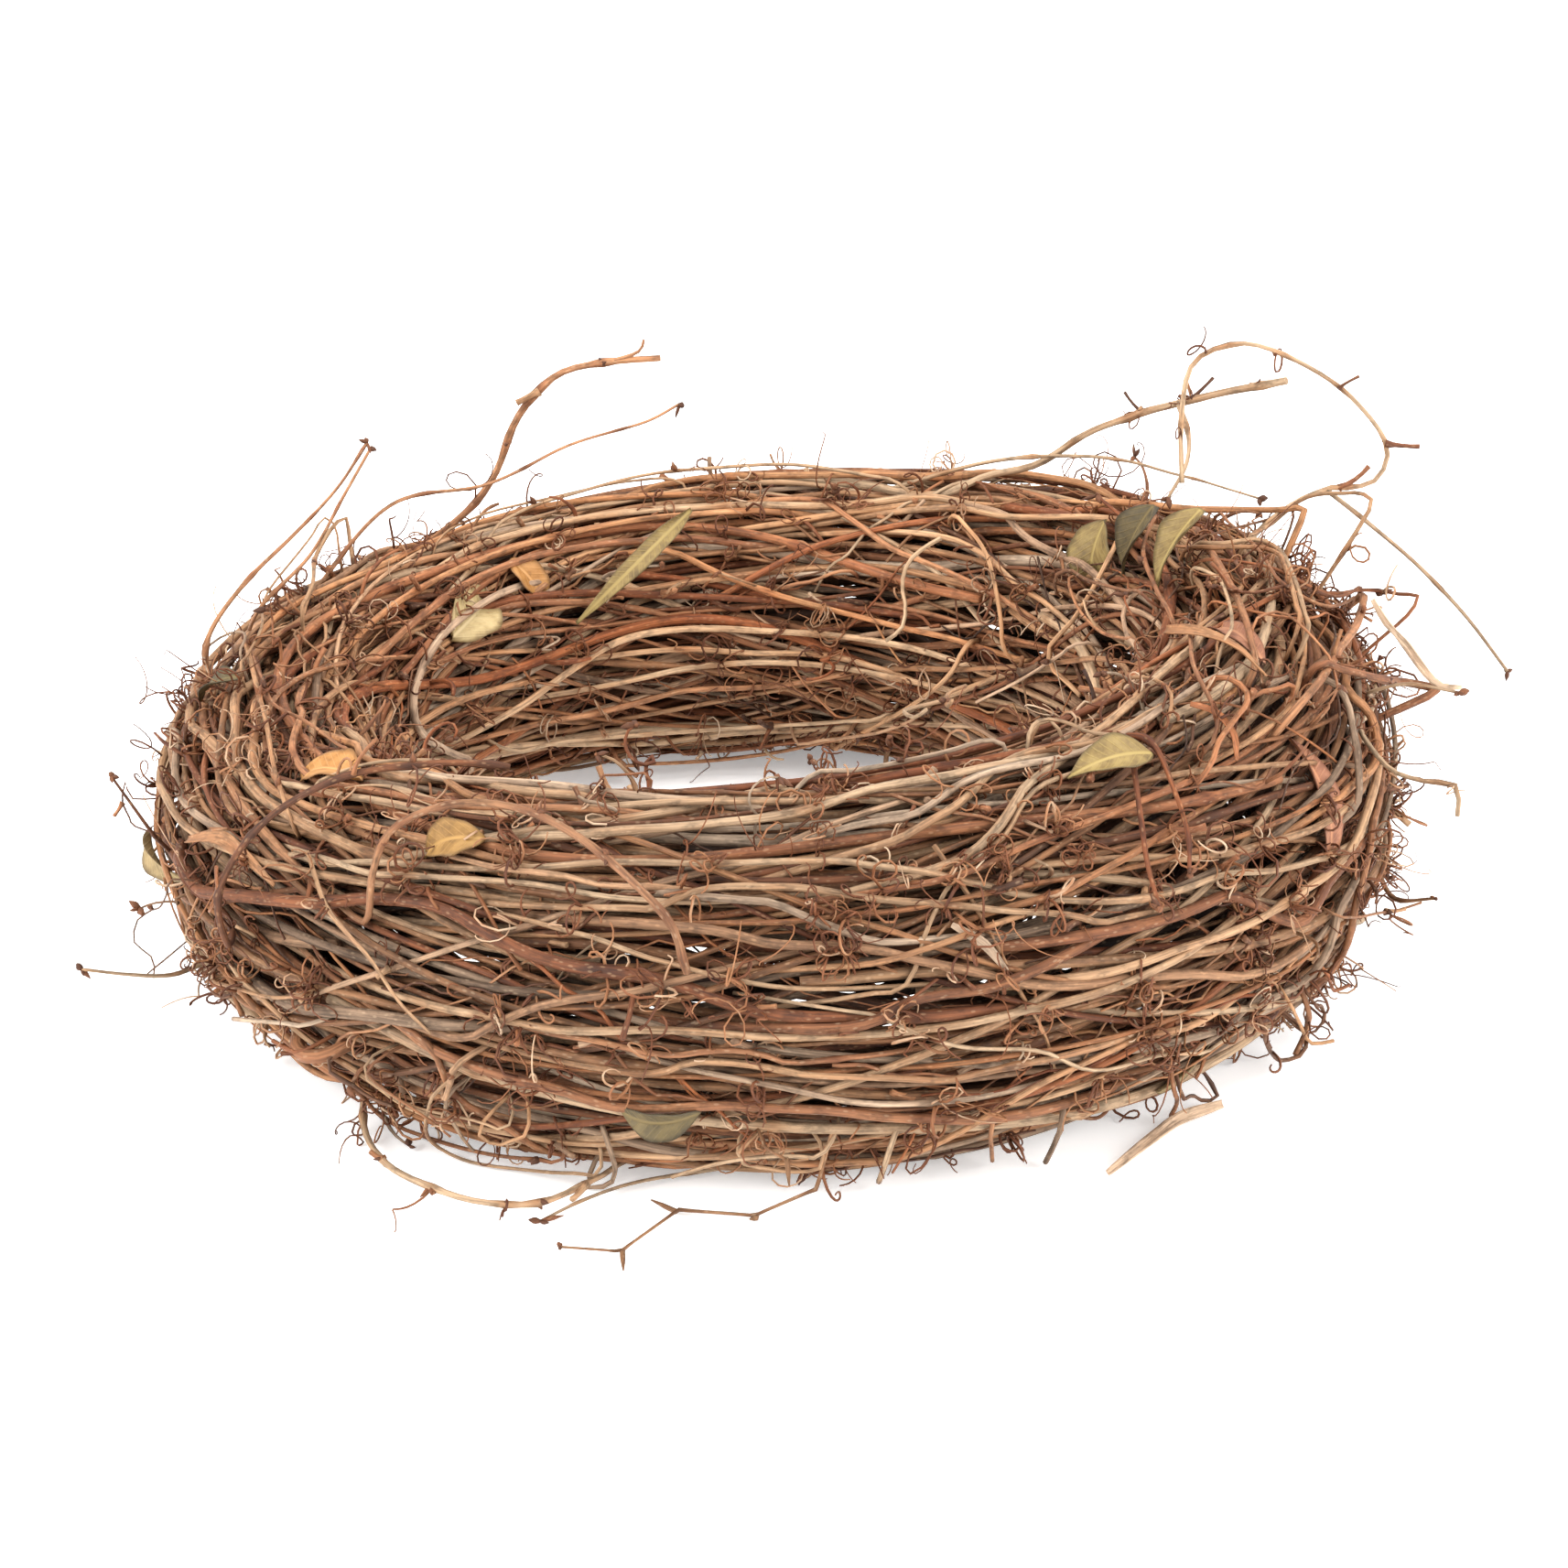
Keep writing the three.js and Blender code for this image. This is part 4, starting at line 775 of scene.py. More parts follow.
rounds = 72
rounds_a_search = 8
search_reach = 12.0
clear_between = 0.12
share_a_round = 0.8
rise_a_round = 0.22
for turn in range(rounds):
    if turn % rounds_a_search == 0:
        middle = (points[segment] + points[segment + 1]) / 2
        first, second = close_pairs(middle, search_reach)
        a, b = segment[first], segment[second]
        # Near places along one cane don't count, nor what is more than 3 mm clear for now
        far = (owner[a] != owner[b]) | (np.abs(a - b) > 4)
        loose = give[a] + give[b] > 0
        a, b = a[far & loose], b[far & loose]
        s, t, gap = nearest_places(a, b)
        near = np.linalg.norm(gap, axis=1) < thick[a] + thick[b] + 3.0
        a, b = a[near], b[near]
    s, t, gap = nearest_places(a, b)
    distance = np.linalg.norm(gap, axis=1)
    overlap = thick[a] + thick[b] + clear_between - distance
    hit = overlap > 0
    ha, hb, s, t, gap = a[hit], b[hit], s[hit], t[hit], gap[hit]
    share_a = give[ha] / (give[ha] + give[hb])
    push = gap / np.maximum(distance[hit], 0.05)[:, None] * overlap[hit][:, None]
    moved = np.zeros_like(points)
    weight = np.zeros(len(points))
    for place, part, sign in ((ha, (1 - s) * share_a, 1), (ha + 1, s * share_a, 1),
                              (hb, (1 - t) * (1 - share_a), -1), (hb + 1, t * (1 - share_a), -1)):
        for axis in range(3):
            moved[:, axis] += np.bincount(place, part * sign * push[:, axis], len(points))
        weight += np.bincount(place, part, len(points))
    points = points + share_a_round * moved / np.maximum(weight, 1.0)[:, None]
    shift = points - start_points
    for _ in range(2):
        even = shift[inner] * 0.5 + (shift[inner - 1] + shift[inner + 1]) * 0.25
        shift[inner] = shift[inner] * 0.5 + even * 0.5
    points = start_points + shift * (give[:, None] > 0)
    phi, theta, share = ring_place(points)
    depth = (1 - share) * half_width(phi)
    sunk = on_top & (depth > 0.0)
    points[sunk] += rise_a_round * ring_normal(phi[sunk], theta[sunk])
    out = (depth < least_depth) & (give > 0)
    points[out] = 0.5 * points[out] + 0.5 * ring_point(phi[out], theta[out], least_depth[out])
    low = (points[:, 2] < thick) & (give > 0)
    points[low, 2] = thick[low]
bounds = np.concatenate([[0], np.cumsum(np.bincount(owner))])
for n, stem in enumerate(stems):
    stem["points"] = points[bounds[n]:bounds[n + 1]]


# Bark. Dried vine canes keep a thin, fibrous bark: fine streaks along the stem, dark scabs,
# some pale specks, a dark ring at each node, and hardly any gloss, because it is dusty.
def linear(code):
    """An sRGB hex colour as linear red, green, blue and alpha."""
    parts = [int(code[n:n + 2], 16) / 255 for n in (0, 2, 4)]
    return [p / 12.92 if p <= 0.04045 else ((p + 0.055) / 1.055) ** 2.4 for p in parts] + [1.0]


def add_node(tree, kind, feeds=(), **settings):
    """Adds one node: settings give its properties, or its sockets' values by name with spaces
    as _, and feeds are pairs of an input's name or number and what feeds it: a node, which
    means its first output, one output, or a value."""
    node = tree.nodes.new("ShaderNode" + kind)
    for key, value in settings.items():
        if hasattr(node, key):
            setattr(node, key, value)
        else:
            node.inputs[key.replace("_", " ")].default_value = value
    for place, feed in feeds:
        feed = feed.outputs[0] if isinstance(feed, bpy.types.Node) else feed
        if isinstance(feed, bpy.types.NodeSocket):
            tree.links.new(feed, node.inputs[place])
        else:
            node.inputs[place].default_value = feed
    return node


def new_material(name):
    """A material and its node tree, which is still empty."""
    material = bpy.data.materials.new(name)
    material.use_nodes = True
    material.node_tree.nodes.clear()
    return material, material.node_tree


def finished(material, colour, height, strength, relief, feeds=(), **settings):
    """The material with its last nodes: bumps of that strength and relief in metres where the
    height varies, the shader with its own feeds and settings, and the output."""
    tree = material.node_tree
    bump = add_node(tree, "Bump", [("Height", height)], Strength=strength, Distance=relief)
    shader = add_node(tree, "BsdfPrincipled", [("Base Color", colour), ("Normal", bump), *feeds],
                      IOR=1.45, **settings)
    add_node(tree, "OutputMaterial", [("Surface", shader)])
    return material


def colour_steps(node, steps):
    """Sets a colour ramp's stops from pairs of place and hex colour."""
    ramp = node.color_ramp
    while len(ramp.elements) > 1:
        ramp.elements.remove(ramp.elements[-1])
    ramp.elements[0].position, ramp.elements[0].color = steps[0][0], linear(steps[0][1])
    for place, code in steps[1:]:
        ramp.elements.new(place).color = linear(code)


def picked_shade(tree, noise, tone, darkest, lightest, shades):
    """A ramp of shades from dark to light, picked by the sum of a noise and the stem's tone,
    which runs from darkest to lightest."""
    picked = add_node(tree, "Math", [(0, noise), (1, tone)], operation="ADD")
    share = add_node(tree, "MapRange", [("Value", picked)], From_Min=darkest, From_Max=lightest)
    ramp = add_node(tree, "ValToRGB", [("Fac", share)])
    colour_steps(ramp, shades)
    return ramp


def bark(name, shades, gloss):
    """Bark in a row of shades from dark to light, picked by each stem's tone, and redder where
    the stem says so. The streaks are drawn 0.5 mm wide and 12 mm long, coarser than the real
    fibres so that they show, and the scabs 2 mm wide and 4 mm long."""
    material, tree = new_material(name)
    grain, stem = (add_node(tree, "Attribute", attribute_name=values).outputs["Vector"]
                   for values in ("grain", "stem"))
    tone, lightness_and_painted_shade, red = add_node(tree, "SeparateXYZ", [(0, stem)]).outputs
    # How often each comes in a metre, across the stem and along it
    fibre_place, patch_place, scab_place, speck_place = (
        add_node(tree, "Mapping", [("Vector", grain)], Scale=(across, across, lengthwise))
        for across, lengthwise in ((2000, 85), (420, 60), (520, 240), (900, 420)))
    fibres, patches, scabs = (
        add_node(tree, "TexNoise", [("Vector", place)], Scale=1.0, Detail=detail,
                 Roughness=roughness)
        for place, detail, roughness in ((fibre_place, 3.0, 0.6), (patch_place, 2.0, 0.5),
                                         (scab_place, 3.0, 0.6)))
    specks = add_node(tree, "TexVoronoi", [("Vector", speck_place)], Scale=1.0)
    spots = add_node(tree, "MapRange", [("Value", specks)], From_Min=0.16, From_Max=0.30,
                     To_Min=1.0, To_Max=0.0)
    scabbed = add_node(tree, "MapRange", [("Value", scabs)], From_Min=0.50, From_Max=0.66,
                       To_Min=1.0, To_Max=0.58)
    ramp = picked_shade(tree, patches, tone, 0.36, 1.54, shades)
    streak = add_node(tree, "MapRange", [("Value", fibres)], From_Min=0.34, From_Max=0.66,
                      To_Min=0.60, To_Max=1.28)
    worn = add_node(tree, "Math", [(0, streak), (1, scabbed)], operation="MULTIPLY")
    # Painted shade: the stem's second value darkens deep canes and lightens those towards the hole
    worn_and_painted_shade = add_node(tree, "Math", [(0, worn), (1, lightness_and_painted_shade)], operation="MULTIPLY")
    streaked = add_node(tree, "VectorMath", [(0, ramp), ("Scale", worn_and_painted_shade)], operation="SCALE")
    spot_share = add_node(tree, "Math", [(0, spots), (1, 0.16)], operation="MULTIPLY")
    spotted = add_node(tree, "Mix", [("Factor", spot_share), (6, streaked),
                                     (7, linear("c4aa8a"))], data_type="RGBA")
    reddened = add_node(tree, "Mix", [("Factor", red), (6, spotted.outputs[2]),
                                      (7, (1.08, 0.76, 0.52, 1.0))],
                        data_type="RGBA", blend_type="MULTIPLY")
    rough = add_node(tree, "MapRange", [("Value", patches)],
                     From_Min=0.3, From_Max=0.7, To_Min=gloss, To_Max=gloss + 0.2)
    return finished(material, reddened.outputs[2], fibres, 0.55, 0.0004,
                    [("Roughness", rough)], Specular_IOR_Level=0.35)


barks = {
    "tan": bark("dried_vine_bark_tan", [(0.0, "64432a"), (0.35, "815a3c"), (0.65, "957354"),
                                        (1.0, "a2886c")], 0.62),
    "brown": bark("dried_vine_bark_brown", [(0.0, "4a2a18"), (0.4, "6c4229"), (0.7, "83573a"),
                                            (1.0, "9a6e4d")], 0.64),
    "grey": bark("dried_vine_bark_grey", [(0.0, "503c2c"), (0.4, "725b48"), (0.7, "8d745e"),
                                          (1.0, "aa937c")], 0.70),
    "dark": bark("dried_vine_bark_dark", [(0.0, "2f1c11"), (0.5, "4e3221"), (1.0, "6c4830")],
                 0.6),
}


def quads_between(count, sides):
    """The quads between each of so many rings of corners and the next, row by row."""
    row = np.arange(count - 1)[:, None] * sides
    side = np.arange(sides)[None, :]
    following = (side + 1) % sides
    return np.stack([row + side, row + following, row + sides + following, row + sides + side],
                    axis=-1).reshape(-1, 4)


def tubes(paths, radii, sides):
    """Closed round tubes along several paths of equal count: square to each path stands a
    circle, and what the circles twist against each other is summed up and turned back. Returns
    corners, quads, end triangles and the grain: place round the stem and length along it."""
    paths, radii = np.asarray(paths, float), np.asarray(radii, float)
    many, count = paths.shape[:2]
    along = unit(np.gradient(paths, axis=1))
    tries = unit(np.array([(0, 0, 1), (1, 0, 0), (0, 1, 0), (1, 1, 0), (1, -1, 0), (1, 0, 1),
                           (-1, 0, 1), (0, 1, 1), (0, -1, 1), (1, 1, 1), (-1, 1, 1)],
                          dtype=float))
    worst = np.abs(along @ tries.T).max(axis=1)
    pick = tries[worst.argmin(axis=1)][:, None, :]
    across = unit(pick - (pick * along).sum(axis=2)[..., None] * along)
    upright = np.cross(along, across)
    twist = np.arctan2((across[:, :-1] * upright[:, 1:]).sum(axis=2),
                       (across[:, :-1] * across[:, 1:]).sum(axis=2))
    turned = np.concatenate([np.zeros((many, 1)), np.cumsum(twist, axis=1)], axis=1)
    angle = turned[..., None] + 2 * np.pi * np.arange(sides) / sides
    round_about = (np.cos(angle)[..., None] * across[:, :, None]
                   + np.sin(angle)[..., None] * upright[:, :, None])
    rings = paths[:, :, None] + radii[..., None, None] * round_about
    corners = np.concatenate([rings.reshape(many, -1, 3), paths[:, :1], paths[:, -1:]], axis=1)
    length = length_along(paths)
    plain = 2 * np.pi * np.arange(sides) / sides
    grain = np.empty((many, count, sides, 3))
    grain[..., 0] = radii[..., None] * np.cos(plain)
    grain[..., 1] = radii[..., None] * np.sin(plain)
    grain[..., 2] = length[..., None]
    ends = np.zeros((many, 2, 3))
    ends[:, 1, 2] = length[:, -1]
    grain = np.concatenate([grain.reshape(many, -1, 3), ends], axis=1)
    quads = quads_between(count, sides)
    around = np.arange(sides)
    next_round = (around + 1) % sides
    last = (count - 1) * sides
    caps = np.concatenate([
        np.stack([np.full(sides, count * sides), next_round, around], axis=-1),
        np.stack([np.full(sides, count * sides + 1), last + around, last + next_round], axis=-1)])
    step = (np.arange(many) * corners.shape[1])[:, None, None]
    return (corners.reshape(-1, 3), (quads[None] + step).reshape(-1, 4),
            (caps[None] + step).reshape(-1, 3), grain.reshape(-1, 3))


def add_piece(name, parts, material, nodes=()):
    """Makes one piece from parts of (corners, quads, triangles, grain, tone, lightness with
    painted shade, red), in millimetres, gives it its material, and lets it ride with the wreath.
    tone, lightness with painted shade and red are one number for the whole part or one for each
    corner."""
    start, corners, quads, triangles, grain, stem = 0, [], [], [], [], []
    for part_corners, part_quads, part_triangles, part_grain, tone, lightness_and_painted_shade, red in parts:
        corners.append(part_corners)
        quads.append(part_quads + start)
        triangles.append(part_triangles + start)
        grain.append(part_grain)
        stem.append(np.stack([np.broadcast_to(value, len(part_corners))
                              for value in (tone, lightness_and_painted_shade, red)], axis=1))
        start += len(part_corners)
    mesh = bpy.data.meshes.new(name)
    faces = np.concatenate(quads).tolist() + np.concatenate(triangles).tolist()
    mesh.from_pydata((np.concatenate(corners) * 0.001).tolist(), [], faces)
    mesh.attributes.new("grain", "FLOAT_VECTOR", "POINT").data.foreach_set(
        "vector", (np.concatenate(grain) * 0.001).ravel())
    mesh.attributes.new("stem", "FLOAT_VECTOR", "POINT").data.foreach_set(
        "vector", np.concatenate(stem).ravel())
    mesh.shade_smooth()
    mesh.materials.append(material)
    piece = bpy.data.objects.new(name, mesh)
    bpy.context.collection.objects.link(piece)
    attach(piece, "root")
    if nodes:
        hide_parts(*nodes)


# The settled canes as round stems. A cane's own shoots, hooks and tendrils are part of it,
# and the thin canes are gathered by their bark. Nodes lie 30 to 90 mm apart, on free ends
# every 19 mm: the stem swells there and goes on in a slightly different direction.
rng = np.random.default_rng(31)
for stem in stems:
    total = length_along(stem["points"])[-1]
    places = np.cumsum(rng.uniform(30, 90, size=3 + int(total / 30))) - rng.uniform(0, 50)
    if stem["node"]:
        length = length_along(stem["points"])
        between = np.arange(rng.uniform(5, 15), total, 19.0)
        share = np.interp(between, length, ring_place(stem["points"])[2])
        places = np.concatenate([places, between[share > 1.08]])
    stem["nodes"] = np.sort(places[(places > 2) & (places < total - 2)])


def painted_shading(corners):
    """Painted shade, as the share of the bark's colour that is kept: 1 at the surface and 0.55
    where it lies 11.5 mm deep, and down to 0.7 of that on the front's upper side. Returned with
    theta."""
    phi, theta, share = ring_place(corners)
    deep = np.clip(((1 - share) * half_width(phi) - 2.5) / 9.0, 0.0, 1.0)
    at_front = np.clip(-1.3 * np.sin(phi) - 0.3, 0, 1) * np.clip(np.sin(theta + 0.4), 0, 1)
    return (1.0 - 0.45 * deep) * (1.0 - 0.3 * at_front), theta


def stem_part(points, radius, sides, tone, lightness_and_painted_shade, red, nodes=(), spread=3.6):
    """One stem: the line is read off every few millimetres, with a slow wave of its thickness,
    and a swelling and a darker ring at each node. Between nodes it runs straight to the next
    one's offset. The bark's colour is multiplied by painted shade: darker where the stem lies
    deeper, on the front's upper side and on the ring's outside, and painted lighter towards the
    hole."""
    line = smooth_line(points, spread)
    length = length_along(line)
    if np.ndim(radius):
        radius = np.interp(length, np.linspace(0, length[-1], len(radius)), radius)
    nodes = np.asarray(nodes, dtype=float)
    wave = 1 + 0.06 * np.sin(length / 19.0 + rng.uniform(0, 6)) + 0.03 * np.sin(length / 5.3)
    apart = length[:, None] - nodes[None, :]
    # A node thickens the stem by a tenth to a half, over 2.6 mm before it and 1.3 mm after it
    swell = rng.uniform(0.1, 0.5, len(nodes))
    bumps = (swell * np.exp(-(apart / np.where(apart > 0, 1.3, 2.6)) ** 2)).sum(axis=1)
    radii = radius * wave * (1 + bumps)
    corner_places = np.concatenate([[0.0], nodes, [length[-1]]])
    offsets = rng.normal(0, 0.3, (len(corner_places), 3))
    offsets[[0, -1]] = 0.0
    line = line + values_at(length, corner_places, offsets)
    line[:, 2] = np.maximum(line[:, 2], radii)
    corners, quads, triangles, grain = tubes(line[None], radii[None], sides)
    grain = grain + [0, 0, rng.uniform(0, 4000)]
    left, theta = painted_shading(corners)
    # Painted light towards the hole and painted shade on the ring's outside
    painted_shade_per_corner = lightness_and_painted_shade * left * (1.06 - 0.20 * np.cos(theta))
    ring_length, ring_darkness = 2.4, 0.45
    ring = np.exp(-(apart / ring_length) ** 2).sum(axis=1) * ring_darkness
    tones = tone - np.concatenate([np.repeat(ring, sides), ring[[0, -1]]])
    return corners, quads, triangles, grain, tones, painted_shade_per_corner, red


for cane, stem in zip(cad_canes, [stem for stem in stems if stem["node"]]):
    radius = cane["radius"]
    if cane["layer"] is layers["outermost"]:
        share = ring_place(cane["line"])[2]
        radius = radius * (0.68 - 0.05 * np.clip((share - 1.05) / 0.2, 0.0, 1.0))
    red_fork = cane["node"] == "cane_with_red_fork"
    tone = rng.uniform(0.2, 0.9)
    red = 0.8 if red_fork else max(0.0, rng.uniform(-0.5, 0.8))
    if "twig" in cane["node"] or "loop" in cane["node"]:
        tone, red = 0.95, 0.0
    parts = [stem_part(cane["line"], radius, 8, tone, 1.0, red, stem["nodes"])]
    for line, shoot_radius in cane["growth"]:
        taper = np.linspace(1.0, 0.6, 5) * shoot_radius * (0.95 if red_fork else 0.65)
        long = length_along(line)[-1]
        places = np.arange(rng.uniform(8, 16), long, rng.uniform(18, 32))
        twig_tone = tone
        if cane["node"] == "cane_with_floor_twig":
            # This thin one turns sharply at its nodes, and each has the stub of a side shoot
            taper, twig_tone = 0.8 * taper, 0.35
            places = length_along(line)[1:-1]
            way = unit(np.diff(line, axis=0))
            outwards = unit(way[:-1] - way[1:]) + 0.6 * way[:-1]
            for corner, stub in zip(line[2:-1], outwards[1:]):
                reach = np.linspace(0.0, 5.5, 4)[:, None]
                parts.append(stem_part(corner + reach * stub, np.array([0.7, 0.6, 0.2]), 5,
                                       twig_tone, 0.8, red, (), 1.2))
            corners = np.stack([line[1:-1] - 2 * way[:-1], line[1:-1], line[1:-1] + 2 * way[1:]],
                               axis=1)
            line = np.concatenate([line[:1], corners.reshape(-1, 3), line[-1:]])
        parts.append(stem_part(line, taper, 6, twig_tone, 0.9, red, places, 2.0))
    add_piece(f"{cane['node']}_stem", parts, barks[cane["finish"]],
              [cane["node"]])

loose = [stem for stem in stems if not stem["node"]]
first_thin = len(surface_canes) + len(loose_twigs) + len(stub_twigs)
for group, members, sides, lightness_and_painted_shade, spread in (
        ("surface_canes", loose[:len(surface_canes)], 7, 1.12, 3.6),
        ("loose_twigs", loose[len(surface_canes):first_thin], 6, 1.0, 3.0),
        ("thin_canes", loose[first_thin:], 5, 1.0, 4.8)):
    for finish in barks:
        parts = [stem_part(stem["points"], stem["radius"], sides, stem["tone"], lightness_and_painted_shade,
                           max(0.0, rng.uniform(-0.6, 0.8)), stem["nodes"], spread)
                 for stem in members if stem["finish"] == finish]
        if parts:
            add_piece(f"{group}_{finish}", parts, barks[finish])

# Dried tendrils. The vine climbs by thin tendrils that coil up like wire as they dry. They
# grow from the nodes, stand in tufts all over the wreath, and are thickest at the right.
def tendril_skin(name, shades):
    """The hard, dark skin of a dried tendril, with a dull gloss and slow changes of shade."""
    material, tree = new_material(name)
    grain, stem = (add_node(tree, "Attribute", attribute_name=values).outputs["Vector"]
                   for values in ("grain", "stem"))
    tone = add_node(tree, "SeparateXYZ", [(0, stem)])
    place = add_node(tree, "Mapping", [("Vector", grain)], Scale=(900.0, 900.0, 180.0))
    wave = add_node(tree, "TexNoise", [("Vector", place)], Scale=1.0)
    ramp = picked_shade(tree, wave, tone, 0.35, 1.55, shades)
    return finished(material, ramp, wave, 0.4, 0.0002, Roughness=0.6, Specular_IOR_Level=0.25)


tendril_dark = tendril_skin("dried_tendril_skin", [(0.0, "442619"), (0.35, "6a3f27"),
                                                   (0.70, "8a5f40"), (1.0, "b39a80")])
rng = np.random.default_rng(47)
node_places, node_along = [], []
for stem in stems:
    length = length_along(stem["points"])
    here, ahead = values_at(np.stack([stem["nodes"], stem["nodes"] + 1.0]), length,
                            stem["points"])
    node_places.append(here)
    node_along.append(ahead - here)
stem_points = np.concatenate(node_places)
stem_along = unit(np.concatenate(node_along))
phi, theta, share_of_node = ring_place(stem_points)
stem_out = ring_normal(phi, theta)
stem_aside = np.cross(stem_out, stem_along)
# Beyond this share of the way to the surface, a node is on a free twig
free_share = 1.06
shown = np.flatnonzero((share_of_node > 1 - 6.5 / half_width(phi)) & (stem_points[:, 2] > 2.5))
near_right = np.exp(-((np.angle(np.exp(1j * (phi[shown] - 0.35))) / 0.9) ** 2))
at_rear_top = np.exp(-((np.angle(np.exp(1j * (phi[shown] - 1.7))) / 0.8) ** 2)
                     - ((np.angle(np.exp(1j * (theta[shown] - 1.2))) / 0.7) ** 2))
under = (1 - share_of_node[shown]) * half_width(phi[shown])
chance = ((1.0 + 0.8 * near_right) * (1.0 - 0.75 * at_rear_top)
          * np.exp(-np.clip(under, 0.0, 6.5) / 2.2)
          * np.hypot(stem_points[shown, 0], stem_points[shown, 1]) ** 1.5
          * np.where(share_of_node[shown] > free_share, 0.1, 1.0))
chance /= chance.sum()
bound = shown[share_of_node[shown] <= free_share]
bound_chance = chance[share_of_node[shown] <= free_share]


def tufts(tuft_count, most, spread):
    """Roots of tendrils: tufts at drawn places in the bundle, each of several roots on stems
    within its spread. Returns the numbers of the stem points."""
    centres = rng.choice(bound, tuft_count, p=bound_chance / bound_chance.sum())
    roots = []
    for centre in centres:
        near = bound[np.linalg.norm(stem_points[bound] - stem_points[centre], axis=1) < spread]
        some = min(len(near), int(rng.integers(most // 3, most + 1)))
        roots.append(rng.choice(near, some, replace=False))
    return np.concatenate(roots)


def curled(roots, reach, loops, size, count):
    """Lines of tendrils: each leaves its stem outwards, runs on for its reach, and meanwhile
    goes round in a plane in loops that get smaller. Drawn anew for each root within limits."""
    many = len(roots)
    axis = unit(stem_out[roots] * rng.uniform(0.1, 1.0, (many, 1))
                + stem_aside[roots] * rng.normal(0, 0.7, (many, 1))
                + stem_along[roots] * rng.normal(0, 0.8, (many, 1)))
    sideways = unit(np.cross(axis, rng.normal(0, 1, (many, 3))))
    third = np.cross(axis, sideways)
    run = np.linspace(0, 1, count)[None, :, None]
    far = rng.uniform(*reach, (many, 1, 1))
    angle = 2 * np.pi * rng.uniform(*loops, (many, 1, 1)) * run ** 0.85
    wide = rng.uniform(*size, (many, 1, 1)) * (1 - 0.62 * run)
    drift = rng.normal(0, 0.25, (many, 1, 1)) * far * run
    return (stem_points[roots][:, None] + axis[:, None] * (far * run + wide * np.sin(angle))
            + sideways[:, None] * wide * (np.cos(angle) - 1) + third[:, None] * drift)


def tube_part(lines, radii, sides, tones, lightness_and_painted_shade, reds, starts=0.0):
    """One part from several equal tubes: tones, reds and starts of the grain are one number for
    all or one for each. Without a given lightness, each corner gets painted shade from where it
    lies."""
    corners, quads, triangles, grain = tubes(lines, radii, sides)
    tones, reds, starts = (np.repeat(np.broadcast_to(values, len(lines)),
                                     len(corners) // len(lines))
                           for values in (tones, reds, starts))
    grain[:, 2] += starts
    lightness_and_painted_shade = painted_shading(corners)[0] if lightness_and_painted_shade is None else lightness_and_painted_shade
    return corners, quads, triangles, grain, tones, lightness_and_painted_shade, reds


def tendril_piece(name, sets):
    """One piece from several sets of tendril lines, each with the radius at root and tip."""
    parts = []
    for lines, thick_root, thick_tip in sets:
        lines[..., 2] = np.maximum(lines[..., 2], 0.5)
        radii = (np.linspace(thick_root, thick_tip, lines.shape[1])
                 * rng.uniform(0.75, 1.25, (len(lines), 1)))
        parts.append(tube_part(lines, radii, 3, rng.uniform(0, 1, len(lines)) ** 2, 1.0, 0.0,
                               rng.uniform(0, 3000, len(lines))))
    add_piece(name, parts, tendril_dark)


# The numbers of a set are the tendrils' reach, their loops, these loops' radius, the points of
# a line, and the thickness at root and tip
tendril_piece("coiled_tendrils", [
    (curled(tufts(60, 14, 15.0), (2, 8), (1.0, 2.4), (1.8, 3.6), 19), 0.31, 0.15),
    (curled(rng.choice(shown, 1100, p=chance), (2, 8), (0.9, 2.2), (1.6, 4.4), 19), 0.33, 0.16),
])
tendril_piece("bent_tendrils", [
    (curled(rng.choice(shown, 950, p=chance), (3, 10), (0.5, 1.3), (2.5, 6.5), 13), 0.36, 0.18),
    (curled(tufts(60, 14, 15.0), (3, 9), (0.5, 1.2), (2.0, 5.0), 12), 0.33, 0.16),
    (curled(rng.choice(shown, 260, p=chance), (8, 22), (0.6, 1.8), (3.0, 6.5), 17), 0.27, 0.13),
])

# Wiry twigs. Between the canes run many thin side twigs, crooked and dark, which were wound
# in with them. Many lie right at the surface and cross the canes at a slant.
wire_count, wire_places = 520, 21
start_phi = rng.uniform(0, 2 * np.pi, wire_count)[:, None]
start_theta = 2 * np.pi * (np.arange(wire_count) * golden_share % 1)[:, None]
run = np.linspace(0, 1, wire_places)[None, :]
wire_length = rng.uniform(0.15, 0.8, (wire_count, 1)) * rng.choice([-1, 1], (wire_count, 1))
wire_phi = start_phi + wire_length * run
wire_theta = start_theta + rng.normal(0, 0.75, (wire_count, 1)) * run
wire_depth = rng.uniform(0.0, 1.0, (wire_count, 1)) ** 1.6 * 6.0 + 0 * run


def wire_wave(waves, size):
    """A sine wave of so many turns a radian along each wire, of a drawn height and start."""
    height = size * rng.normal(0, 1, (wire_count, 1))
    start = rng.uniform(0, 6.3, (wire_count, 1))
    return height * np.sin(2 * np.pi * waves * run * np.abs(wire_length) + start)


